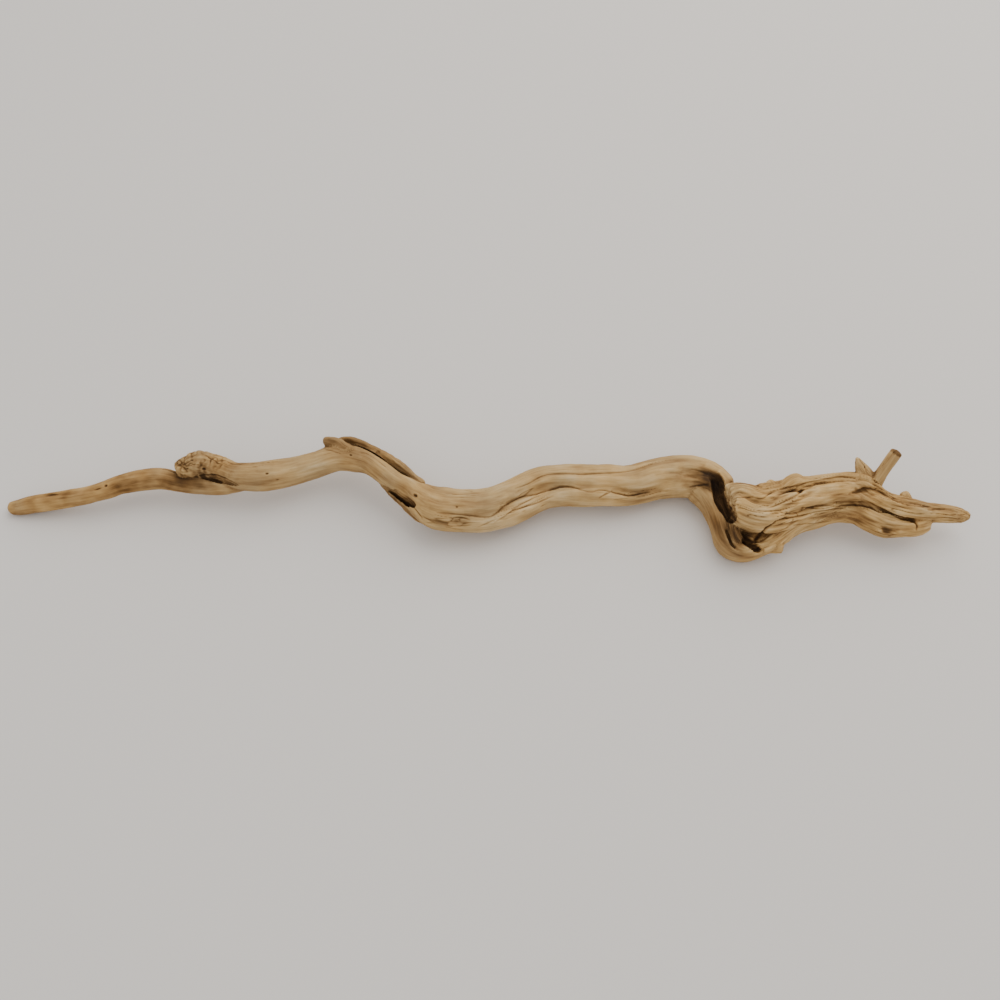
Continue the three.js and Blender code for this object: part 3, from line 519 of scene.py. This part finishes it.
def furrow_depth(rows, x, angle, radius):
    """How far a furrow sinks the surface at station x and an angle, on a limb of about that radius"""
    stations, degrees, wide, deep = np.array(rows, float).T
    inside = (x >= stations[0]) & (x <= stations[-1])
    off = angle - np.radians(np.interp(x, stations, degrees))
    across = np.arctan2(np.sin(off), np.cos(off)) * radius
    depth = np.interp(x, stations, deep) * np.exp(-(across / np.interp(x, stations, wide)) ** 2)
    return np.where(inside, depth, 0)


def smooth_rows(rows, steps=40):
    """A Catmull-Rom curve through all columns of the rows"""
    p = np.array(rows, float)
    p = np.vstack([2 * p[0] - p[1], p, 2 * p[-1] - p[-2]])
    t = np.linspace(0, 1, steps, endpoint=False)[:, None]
    parts = []
    for before, start, end, after in zip(p, p[1:], p[2:], p[3:]):
        leave, arrive = (end - before) / 2, (after - start) / 2
        parts.append((2 * t ** 3 - 3 * t ** 2 + 1) * start + (t ** 3 - 2 * t ** 2 + t) * leave
                     + (3 * t ** 2 - 2 * t ** 3) * end + (t ** 3 - t ** 2) * arrive)
    return np.vstack(parts + [p[-2:-1]])


def end_rounding(distance, cap):
    """The share of its full radius that a limb has at a distance from its end"""
    return np.sqrt(np.clip(1 - np.clip(1 - distance / cap, 0, 1) ** 2, 0, 1))


class Sweep:
    """A limb's stations along its centreline, with the frame at each, and its skin as a grid of points"""

    def __init__(self, limb):
        dense = smooth_rows(limb.path)
        run = np.append(0, np.cumsum(np.linalg.norm(np.diff(dense[:, :3], axis=0), axis=1)))
        self.length = run[-1]
        count = max(12, math.ceil(self.length / STEP))
        self.along = np.linspace(0, self.length, count + 1)
        rows = np.array([np.interp(self.along, run, column) for column in dense.T]).T
        self.centre, self.across, self.high = rows[:, :3], rows[:, 3], rows[:, 4]
        self.x = self.centre[:, 0]
        self.tangent = np.gradient(self.centre, axis=0)
        self.tangent /= np.linalg.norm(self.tangent, axis=1)[:, None]
        normal = np.array((0, 0, 1)) - self.tangent[:, 2:] * self.tangent
        self.normal = normal / np.linalg.norm(normal, axis=1)[:, None]
        self.side = np.cross(self.normal, self.tangent)
        self.sides = max(16, math.ceil(2 * math.pi * max(self.across.max(), self.high.max()) / STEP))
        self.angle = np.arange(self.sides) * 2 * math.pi / self.sides
        self.grid = self.skin(limb)

    def move(self, shift):
        """The grain keeps its stations along the tables' X"""
        self.centre = self.centre + shift
        self.grid = self.grid + shift

    def skin(self, limb):
        angle = self.angle[None, :]
        x = self.x[:, None]
        plain = 1 / np.hypot(np.cos(angle) / self.high[:, None], np.sin(angle) / self.across[:, None])
        share = (self.along / self.length)[:, None]
        rough = limb.rough[0] * (1 - share) + limb.rough[1] * share
        radius = plain + rough * ridges(x, angle)
        for rows in limb.furrows:
            radius = radius - furrow_depth(rows, x, angle, plain)
        radius *= end_rounding(self.along, limb.cap[0])[:, None]
        radius *= end_rounding(self.length - self.along, limb.cap[1])[:, None]
        out = np.cos(angle)[..., None] * self.normal[:, None] + np.sin(angle)[..., None] * self.side[:, None]
        return self.centre[:, None] + radius[..., None] * out

    def faces(self):
        """Quads between the rings, and a fan to the one point at each end"""
        rings, sides = self.grid.shape[:2]
        inner = rings - 2
        quads = []
        for i in range(inner - 1):
            for j in range(sides):
                k = (j + 1) % sides
                quads.append(((i + 1) * sides + j, (i + 1) * sides + k, i * sides + k, i * sides + j))
        first, last = inner * sides, inner * sides + 1
        top = (inner - 1) * sides
        for j in range(sides):
            k = (j + 1) % sides
            quads.append((first, j, k))
            quads.append((last, top + k, top + j))
        return quads

    def points(self):
        inner = self.grid[1:-1].reshape(-1, 3)
        return np.vstack([inner, self.grid[0, :1], self.grid[-1, :1]])


def mesh_object(name, points, faces):
    mesh = bpy.data.meshes.new(name)
    mesh.from_pydata((points * MM).tolist(), [], faces)
    mesh.update()
    obj = bpy.data.objects.new(name, mesh)
    bpy.context.scene.collection.objects.link(obj)
    return obj


def joined(name, sweeps):
    """One mesh object that holds every sweep's closed skin"""
    points, faces, start = [], [], 0
    for sweep in sweeps:
        part = sweep.points()
        points.append(part)
        faces += [tuple(start + v for v in face) for face in sweep.faces()]
        start += len(part)
    return mesh_object(name, np.vstack(points), faces)


def apply_modifiers(obj):
    """The object's mesh as its modifiers leave it, and no modifiers"""
    graph = bpy.context.evaluated_depsgraph_get()
    mesh = bpy.data.meshes.new_from_object(obj.evaluated_get(graph))
    obj.modifiers.clear()
    obj.data = mesh


def remesh(obj):
    modifier = obj.modifiers.new("skin", "REMESH")
    modifier.mode = "VOXEL"
    modifier.voxel_size = VOXEL * MM
    modifier.adaptivity = 0
    apply_modifiers(obj)


def read_points(mesh):
    flat = np.empty(3 * len(mesh.vertices))
    mesh.vertices.foreach_get("co", flat)
    return flat.reshape(-1, 3) / MM


def read_normals(mesh):
    flat = np.empty(3 * len(mesh.vertices))
    mesh.vertex_normals.foreach_get("vector", flat)
    return flat.reshape(-1, 3)


def write_points(mesh, points):
    mesh.vertices.foreach_set("co", (points * MM).ravel())
    mesh.update()


def keep_in_box(mesh):
    """Moves the points that stick out of the solid's box to its sides, and returns all the points"""
    low, high = (np.array(corner) / MM for corner in cad_box)
    points = np.clip(read_points(mesh), low, high)
    write_points(mesh, points)
    return points


class Neighbours:
    """Averages values over each vertex's neighbours"""

    def __init__(self, mesh):
        flat = np.empty(2 * len(mesh.edges), dtype=np.int64)
        mesh.edges.foreach_get("vertices", flat)
        self.ends = flat.reshape(-1, 2)
        self.size = len(mesh.vertices)
        self.count = np.bincount(self.ends.ravel(), minlength=self.size)

    def mean(self, values):
        columns = values.reshape(self.size, -1)
        total = np.empty_like(columns)
        a, b = self.ends.T
        for k in range(columns.shape[1]):
            column = columns[:, k]
            total[:, k] = np.bincount(a, column[b], self.size) + np.bincount(b, column[a], self.size)
            total[:, k] /= self.count
        return total.reshape(values.shape)

    def smooth(self, values, rounds, share=0.5):
        for _ in range(rounds):
            values = values + share * (self.mean(values) - values)
        return values


def shift_of(sweeps):
    """From the tables' frame to the part's: centred over its footprint, with its lowest points worn to z = 0"""
    points = np.vstack([sweep.points() for sweep in sweeps])
    low, high = points.min(axis=0), points.max(axis=0)
    return np.array((-(low[0] + high[0]) / 2, -(low[1] + high[1]) / 2, -(low[2] + GROUND_CUT)))


def grain_places(points, sweeps):
    """For each point: the nearest limb, how far along it, its x, angle and distance from the centreline, and
    the direction of the grain"""
    stations = [(k, i) for k, sweep in enumerate(sweeps) for i in range(len(sweep.grid)) for _ in sweep.angle]
    skins = np.vstack([sweep.grid.reshape(-1, 3) for sweep in sweeps])
    tree = kdtree.KDTree(len(skins))
    for i, point in enumerate(skins):
        tree.insert(point, i)
    tree.balance()
    nearest = np.array([tree.find(point)[1] for point in points])
    limb, station = np.array(stations)[nearest].T
    along, angle, radius, x = (np.empty(len(points)) for _ in range(4))
    grain = np.empty_like(points)
    for k, sweep in enumerate(sweeps):
        mine = limb == k
        at = station[mine]
        off = points[mine] - sweep.centre[at]
        up = (off * sweep.normal[at]).sum(axis=1)
        side = (off * sweep.side[at]).sum(axis=1)
        ahead = (off * sweep.tangent[at]).sum(axis=1)
        along[mine] = sweep.along[at] + ahead
        x[mine] = sweep.x[at] + ahead * sweep.tangent[at, 0]
        angle[mine] = np.arctan2(side, up)
        radius[mine] = np.hypot(side, up)
        grain[mine] = sweep.tangent[at]
    return limb, along, x, angle, radius, grain


class Camera:
    """The photograph's camera, in the part's millimetres"""

    def __init__(self, shift):
        self.forward = np.array((0, math.cos(LOOK_DOWN), -math.sin(LOOK_DOWN)))
        self.up = np.array((0, math.sin(LOOK_DOWN), math.cos(LOOK_DOWN)))
        self.aim = AIM + shift
        self.place = self.aim - DISTANCE * self.forward

    def ray(self, pixel_x, pixel_y):
        across = (pixel_x / PIXELS - 0.5) * 2 * math.tan(VIEW_ANGLE / 2)
        upward = (0.5 - pixel_y / PIXELS) * 2 * math.tan(VIEW_ANGLE / 2)
        return np.array((across, 0, 0)) + upward * self.up + self.forward

    def hit(self, tree, pixel_x, pixel_y):
        """Where the line of sight through a pixel meets the wood, or None"""
        found = tree.ray_cast(Vector(self.place * MM), Vector(self.ray(pixel_x, pixel_y)).normalized())[0]
        return None if found is None else np.array(found) / MM


def near_line(points, line, reach):
    """For the points within reach of a 3-D line: their indices, distances, and values of its other columns"""
    low = line[:, :3].min(axis=0) - reach
    high = line[:, :3].max(axis=0) + reach
    index = np.nonzero(np.all((points > low) & (points < high), axis=1))[0]
    best = np.full(len(index), np.inf)
    values = np.zeros((len(index), line.shape[1] - 3))
    for start, end in zip(line, line[1:]):
        step = end[:3] - start[:3]
        share = np.clip((points[index] - start[:3]) @ step / (step @ step), 0, 1)
        distance = np.linalg.norm(points[index] - start[:3] - share[:, None] * step, axis=1)
        closer = distance < best
        best[closer] = distance[closer]
        values[closer] = (start[3:] + share[:, None] * (end[3:] - start[3:]))[closer]
    return index, best, values


def along_lines(table, points, tree, camera, reach):
    """For each line of pixels, drawn on the wood: the points near it, their distances, and its other columns"""
    for rows in table:
        fine = smooth_rows(rows, steps=8)
        hits = [(camera.hit(tree, row[0], row[1]), row[2:]) for row in fine]
        line = np.array([(*place, *values) for place, values in hits if place is not None])
        yield near_line(points, line, reach)


def carve_cracks(points, tree, camera):
    """How deep the cracks are at each point, and how dark their painted shade makes it"""
    depth = np.zeros(len(points))
    dark = np.zeros(len(points))
    for index, distance, values in along_lines(CRACKS, points, tree, camera, reach=6):
        wide, deep = values.T
        ragged = 1 + pattern("ragged", points[index])
        broken = BROKEN_MEAN + pattern("broken", points[index])
        profile = np.exp(-(distance / (wide * ragged)) ** 2)
        depth[index] = np.maximum(depth[index], deep * profile)
        dark[index] = np.maximum(dark[index], np.clip(deep * broken / CRACK_BLACK, 0, 1) * profile ** 2)
    return depth, dark


def shading(points, tree, camera):
    """How much darker each point is painted: painted shade, and the branch's scar; below 0, painted light"""
    total = np.zeros(len(points))
    for index, distance, values in along_lines(SHADES, points, tree, camera, reach=12):
        wide, amount = values.T
        total[index] += amount * np.exp(-(distance / wide) ** 2)
    return total


def carve_pits(points, grain, tree, camera):
    """How deep the pits are at each point, and how dark their painted shade makes it"""
    depth = np.zeros(len(points))
    dark = np.zeros(len(points))
    for px, py, long, wide, deep in PITS:
        place = camera.hit(tree, px, py)
        if place is None:
            continue
        off = points - place
        along = (off * grain).sum(axis=1)
        across = np.sqrt(np.maximum((off ** 2).sum(axis=1) - along ** 2, 0))
        reach = (along / long) ** 2 + (across / wide) ** 2
        profile = np.exp(-reach ** 1.5)
        depth = np.maximum(depth, deep * profile)
        dark = np.maximum(dark, np.clip(deep / PIT_BLACK, 0, 1) * profile)
    return depth, dark


def surface(mesh):
    """The mesh for ray casts and nearest points, in metres"""
    return BVHTree.FromPolygons([v.co for v in mesh.vertices], [tuple(p.vertices) for p in mesh.polygons])


def openness(points, normals, tree):
    """How much of the sky each point sees, with only what lies within REACH counted as in its way"""
    spread = np.random.default_rng(7).normal(size=(RAYS, 3))
    spread /= np.linalg.norm(spread, axis=1)[:, None]
    seen = np.zeros(len(points))
    for sideways in spread:
        rays = normals + SPREAD * sideways
        start = (points + LIFT * normals) * MM
        seen += [tree.ray_cast(a, b, REACH * MM)[0] is None for a, b in zip(start, rays)]
    return seen / RAYS


class Skin:
    """The joined wood's skin while it is carved: its points, and what is known of the wood at each"""

    def __init__(self, mesh, uncut, shift, sweeps):
        self.mesh = mesh
        self.around = Neighbours(mesh)
        self.points = self.around.smooth(read_points(mesh), rounds=4)
        write_points(mesh, self.points)
        self.normals = read_normals(mesh)
        self.tree = surface(mesh)
        self.camera = Camera(shift)
        # How shut in each point is, and how far it lies below the uncut skin: they set the painted shade in
        # shelter and hollows
        self.closed = 1 - self.around.smooth(openness(self.points, self.normals, self.tree), rounds=8)
        below = np.array([uncut.find_nearest(vertex.co)[3] for vertex in mesh.vertices]) / MM
        self.inside = self.around.smooth(np.clip((below - 1) / HOLLOW_DARK, 0, 1), rounds=6)
        self.limb, along, self.x, self.angle, radius, self.grain = grain_places(self.points, sweeps)
        across = radius * np.cos(self.angle), radius * np.sin(self.angle)
        self.straight = np.stack((along + LIMBS_APART * self.limb, *across), axis=1)
        self.fibre = self.by_limb(FIBRES)
        self.flaky = self.on("fin", "twig", "sliver")
        edge = self.x + pattern("knob edge", self.points)
        self.knob = self.on("trunk") * np.clip((KNOB_END - edge) / KNOB_FADE, 0, 1)
        gate = np.clip(CREVICE_MEAN + pattern("crevice gate", self.points), 0, 1)
        self.crevice = np.exp(-(pattern("crevice", self.points) / CREVICE_WIDTH) ** 2) * gate

    def on(self, *names):
        """Whether each point is on one of the named limbs"""
        order = list(LIMBS)
        return np.isin(self.limb, [order.index(name) for name in names])

    def by_limb(self, values):
        """Each point's value by its limb, 0 where the limb has none"""
        return np.array([values.get(name, 0) for name in LIMBS])[self.limb]

    def relief(self):
        """How far the fine forms lift the skin"""
        patch = PATCH_MEAN + pattern("patch", self.points)
        fold = folds("fold", self.straight) + FINE_FOLD_SHARE * folds("fine fold", self.straight)
        relief = FIBRE_RIDGES * self.fibre * (1 - self.knob) * ridges(self.x, self.angle, FIBRE_CRESTS)
        relief += self.fibre * patch * fold
        relief += pattern("swell", self.points) + pattern("bump", self.points)
        relief += self.flaky * pattern("flake", self.points)
        lumps = pattern("lump", self.points) + pattern("small lump", self.points)
        return relief + self.knob * (lumps - CREVICE_DEPTH * self.crevice)

    def hairlines(self):
        """How strong the hairlines are, which run with the grain on every side"""
        line = np.abs(pattern("hairline", self.straight))
        gate = pattern("hairline gate", self.straight) + HAIRLINES_BY_FIBRE * self.fibre - HAIRLINE_GATE
        return np.exp(-(line / HAIRLINE_WIDTH) ** 2) * np.clip(gate, 0, 1)

    def carve(self):
        """Moves the points, and returns how dark the painted shade of the cracks and pits and the hairlines make
        them
        """
        hairline = self.hairlines()
        crack_depth, crack_dark = carve_cracks(self.points, self.tree, self.camera)
        pit_depth, pit_dark = carve_pits(self.points, self.grain, self.tree, self.camera)
        hairline_depth = (HAIRLINE_DEPTH + HAIRLINE_DEPTH_BY_FIBRE * self.fibre) * hairline
        relief = self.relief() - (np.maximum(crack_depth, pit_depth) + hairline_depth)
        write_points(self.mesh, self.points + relief[:, None] * self.normals)
        self.points = keep_in_box(self.mesh)
        self.normals = read_normals(self.mesh)
        return CRACK_SHADE * np.maximum(crack_dark, pit_dark) + HAIRLINE_DIRT * hairline

    def sunk(self, rounds):
        """How far each point lies below the mean of those round it"""
        return ((self.around.smooth(self.points, rounds) - self.points) * self.normals).sum(axis=1)

    def tone(self, cracks):
        """The wood's tone, with painted shade in valleys, creases, shelter, hollows and cracks, and painted
        light on crests
        """
        stations, tones, _ = np.array(TONES).T
        tone = np.interp(self.x, stations, tones) + self.by_limb(LIMB_TONES)
        # Painted shade in valleys and creases, and painted light on crests
        tone -= VALLEY_SHADE * np.clip(self.sunk(rounds=60), -1.2, 2.5)
        tone -= CREASE_SHADE * np.clip(self.sunk(rounds=8), -0.25, 0.8)
        # Painted shade where the sky is shut out, and in the hollows; the flaky strands get less of it
        sheltered_shade = SHELTER_SHADE * self.closed + DEEP_SHELTER_SHADE * np.clip(self.closed - DEEP_SHELTER, 0, 0.5)
        tone -= np.where(self.flaky, FLAKY_SHARE, 1) * (sheltered_shade + HOLLOW_SHADE * self.inside)
        tone += self.on("tail") * (pattern("tail blotch", self.points) + pattern("tail speck", self.points))
        # Painted shade and painted light along the listed lines, and the branch's scar
        tone -= shading(self.points, self.tree, self.camera)
        # Painted shade in the cracks, pits and the knob's crevices, with the hairlines' own dark lines
        tone -= cracks + CREVICE_SHADE * self.knob * self.crevice
        # The long stub's broken end is darker
        tone[self.on("long_stub") & (self.x > STUB_END)] -= BROKEN_END_DARKER
        tone += pattern("broad tone", self.points) + pattern("small tone", self.points)
        tone += self.fibre * pattern("grain speck", self.straight)
        tone += self.knob * pattern("knob speck", self.points)
        darkest = np.where(self.flaky & ~self.on("sliver"), DARKEST_FLAKY, DARKEST)
        # Painted shade lowers the darkest tone inside the hollows
        darkest = darkest - DARKER_INSIDE * self.inside
        return darkest + np.logaddexp(0, SOFTNESS * (tone - darkest)) / SOFTNESS

    def warmth(self):
        """How warm the brown is, by the place along X, in patches"""
        stations, _, warmths = np.array(TONES).T
        warmth = np.interp(self.x, stations, warmths)
        warmth += pattern("warm patch", self.points) + pattern("warm speck", self.points)
        return warmth - STUB_COOLER * self.on("long_stub", "short_stub")


def cut_hollows(wood, shift):
    for limb in HOLLOWS:
        sweep = Sweep(limb)
        sweep.move(shift)
        cutter = joined("cutter", [sweep])
        modifier = wood.modifiers.new("hollow", "BOOLEAN")
        modifier.object = cutter
        modifier.operation = "DIFFERENCE"
        modifier.solver = "MANIFOLD"
        apply_modifiers(wood)
        bpy.data.objects.remove(cutter)


def fewer_triangles(wood):
    triangles = sum(len(polygon.vertices) - 2 for polygon in wood.data.polygons)
    modifier = wood.modifiers.new("fewer", "DECIMATE")
    modifier.ratio = min(1, MOST_TRIANGLES / triangles)
    apply_modifiers(wood)


def paint(mesh, tone, warmth, straight):
    for name, values in (("tone", tone), ("warmth", warmth)):
        mesh.attributes.new(name, "FLOAT", "POINT").data.foreach_set("value", values)
    mesh.attributes.new("straight", "FLOAT_VECTOR", "POINT").data.foreach_set("vector", (straight * MM).ravel())


def make_wood():
    sweeps = [Sweep(limb) for limb in LIMBS.values()]
    shift = shift_of(sweeps)
    for sweep in sweeps:
        sweep.move(shift)
    wood = joined("driftwood_fine", sweeps)
    remesh(wood)
    uncut = surface(wood.data)
    cut_hollows(wood, shift)
    remesh(wood)
    skin = Skin(wood.data, uncut, shift, sweeps)
    cracks = skin.carve()
    paint(wood.data, skin.tone(cracks), skin.warmth(), skin.straight)
    fewer_triangles(wood)
    keep_in_box(wood.data)
    wood.data.polygons.foreach_set("use_smooth", [True] * len(wood.data.polygons))
    return wood, shift


def wood_material():
    material = bpy.data.materials.new("weathered_wood")
    material.use_nodes = True
    nodes, links = material.node_tree.nodes, material.node_tree.links
    shader = nodes["Principled BSDF"]
    shader.inputs["Specular IOR Level"].default_value = 0.15

    def attribute(name, output):
        node = nodes.new("ShaderNodeAttribute")
        node.attribute_name = name
        return node.outputs[output]

    def texture(scale, detail, place):
        """Noise drawn out along the grain: scale is features for each metre along and across it"""
        mapping = nodes.new("ShaderNodeMapping")
        mapping.inputs["Location"].default_value = (place, place, place)
        mapping.inputs["Scale"].default_value = (scale[0], scale[1], scale[1])
        links.new(attribute("straight", "Vector"), mapping.inputs["Vector"])
        node = nodes.new("ShaderNodeTexNoise")
        node.inputs["Scale"].default_value = 1
        node.inputs["Detail"].default_value = detail
        links.new(mapping.outputs["Vector"], node.inputs["Vector"])
        return node.outputs["Fac"]

    def math_node(operation, *values):
        node = nodes.new("ShaderNodeMath")
        node.operation = operation
        for socket, value in zip(node.inputs, values):
            if isinstance(value, (int, float)):
                socket.default_value = value
            else:
                links.new(value, socket)
        return node.outputs[0]

    lines = {}
    tone = attribute("tone", "Fac")
    for name, (scale, detail, place, strength) in LINES.items():
        lines[name] = texture(scale, detail, place)
        offset = math_node("SUBTRACT", lines[name], 0.5)
        tone = math_node("ADD", tone, math_node("MULTIPLY", offset, strength))
    ramp = nodes.new("ShaderNodeValToRGB")
    elements = ramp.color_ramp.elements
    for at, (place, colour) in enumerate(WOOD_RAMP):
        element = elements[at] if at < len(elements) else elements.new(place)
        element.position = place
        element.color = (*colour, 1)
    links.new(tone, ramp.inputs["Fac"])

    warm = nodes.new("ShaderNodeMixRGB")
    warm.blend_type = "MULTIPLY"
    links.new(attribute("warmth", "Fac"), warm.inputs["Fac"])
    links.new(ramp.outputs["Color"], warm.inputs["Color1"])
    warm.inputs["Color2"].default_value = (*WARM_BROWN, 1)
    links.new(warm.outputs["Color"], shader.inputs["Base Color"])

    rough = math_node("ADD", math_node("MULTIPLY", lines["streaks"], ROUGHER_STREAKS), ROUGHNESS)
    links.new(rough, shader.inputs["Roughness"])
    parts = [math_node("MULTIPLY", lines[name], share) for name, share in BUMP_SHARES.items()]
    height = math_node("ADD", *parts)
    bump = nodes.new("ShaderNodeBump")
    bump.inputs["Strength"].default_value = 0.5
    bump.inputs["Distance"].default_value = 0.001
    links.new(height, bump.inputs["Height"])
    links.new(bump.outputs["Normal"], shader.inputs["Normal"])
    return material


def make_camera(shift):
    view = Camera(shift)
    data = bpy.data.cameras.new("camera")
    data.angle = VIEW_ANGLE
    camera = bpy.data.objects.new("camera", data)
    camera.location = view.place * MM
    camera.rotation_euler = (math.pi / 2 - LOOK_DOWN, 0, 0)
    bpy.context.scene.collection.objects.link(camera)
    bpy.context.scene.camera = camera


def make_floor():
    corners = np.array([(-1, -1, 0), (1, -1, 0), (1, 1, 0), (-1, 1, 0)]) * FLOOR_SIZE / MM
    floor = mesh_object("floor", corners, [(0, 1, 2, 3)])
    material = bpy.data.materials.new("pale_floor")
    material.use_nodes = True
    shader = material.node_tree.nodes["Principled BSDF"]
    shader.inputs["Base Color"].default_value = (*FLOOR_COLOUR, 1)
    shader.inputs["Roughness"].default_value = 0.9
    floor.data.materials.append(material)


def area_light(name, place, aim, size, energy, colour):
    data = bpy.data.lights.new(name, "AREA")
    data.size = size
    data.energy = energy
    data.color = colour
    light = bpy.data.objects.new(name, data)
    light.location = place
    light.rotation_euler = (Vector(aim) - Vector(place)).to_track_quat("-Z", "Y").to_euler()
    bpy.context.scene.collection.objects.link(light)


def make_lights():
    area_light("key", place=(0.9, 1.1, 1.7), aim=(0, 0, 0), size=2.6, energy=38, colour=(1, 0.97, 0.93))
    area_light("fill", place=(-1.2, -0.8, 1.6), aim=(0, 0, 0), size=2, energy=4, colour=(0.95, 0.97, 1))
    world = bpy.data.worlds.new("studio")
    bpy.context.scene.world = world
    world.use_nodes = True
    background = world.node_tree.nodes["Background"]
    background.inputs["Color"].default_value = (1, 1, 1, 1)
    background.inputs["Strength"].default_value = WORLD_LIGHT


wood, shift = make_wood()
wood.data.materials.clear()
wood.data.materials.append(wood_material())
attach(wood, "root")
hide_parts("driftwood")
make_camera(shift)
make_floor()
make_lights()
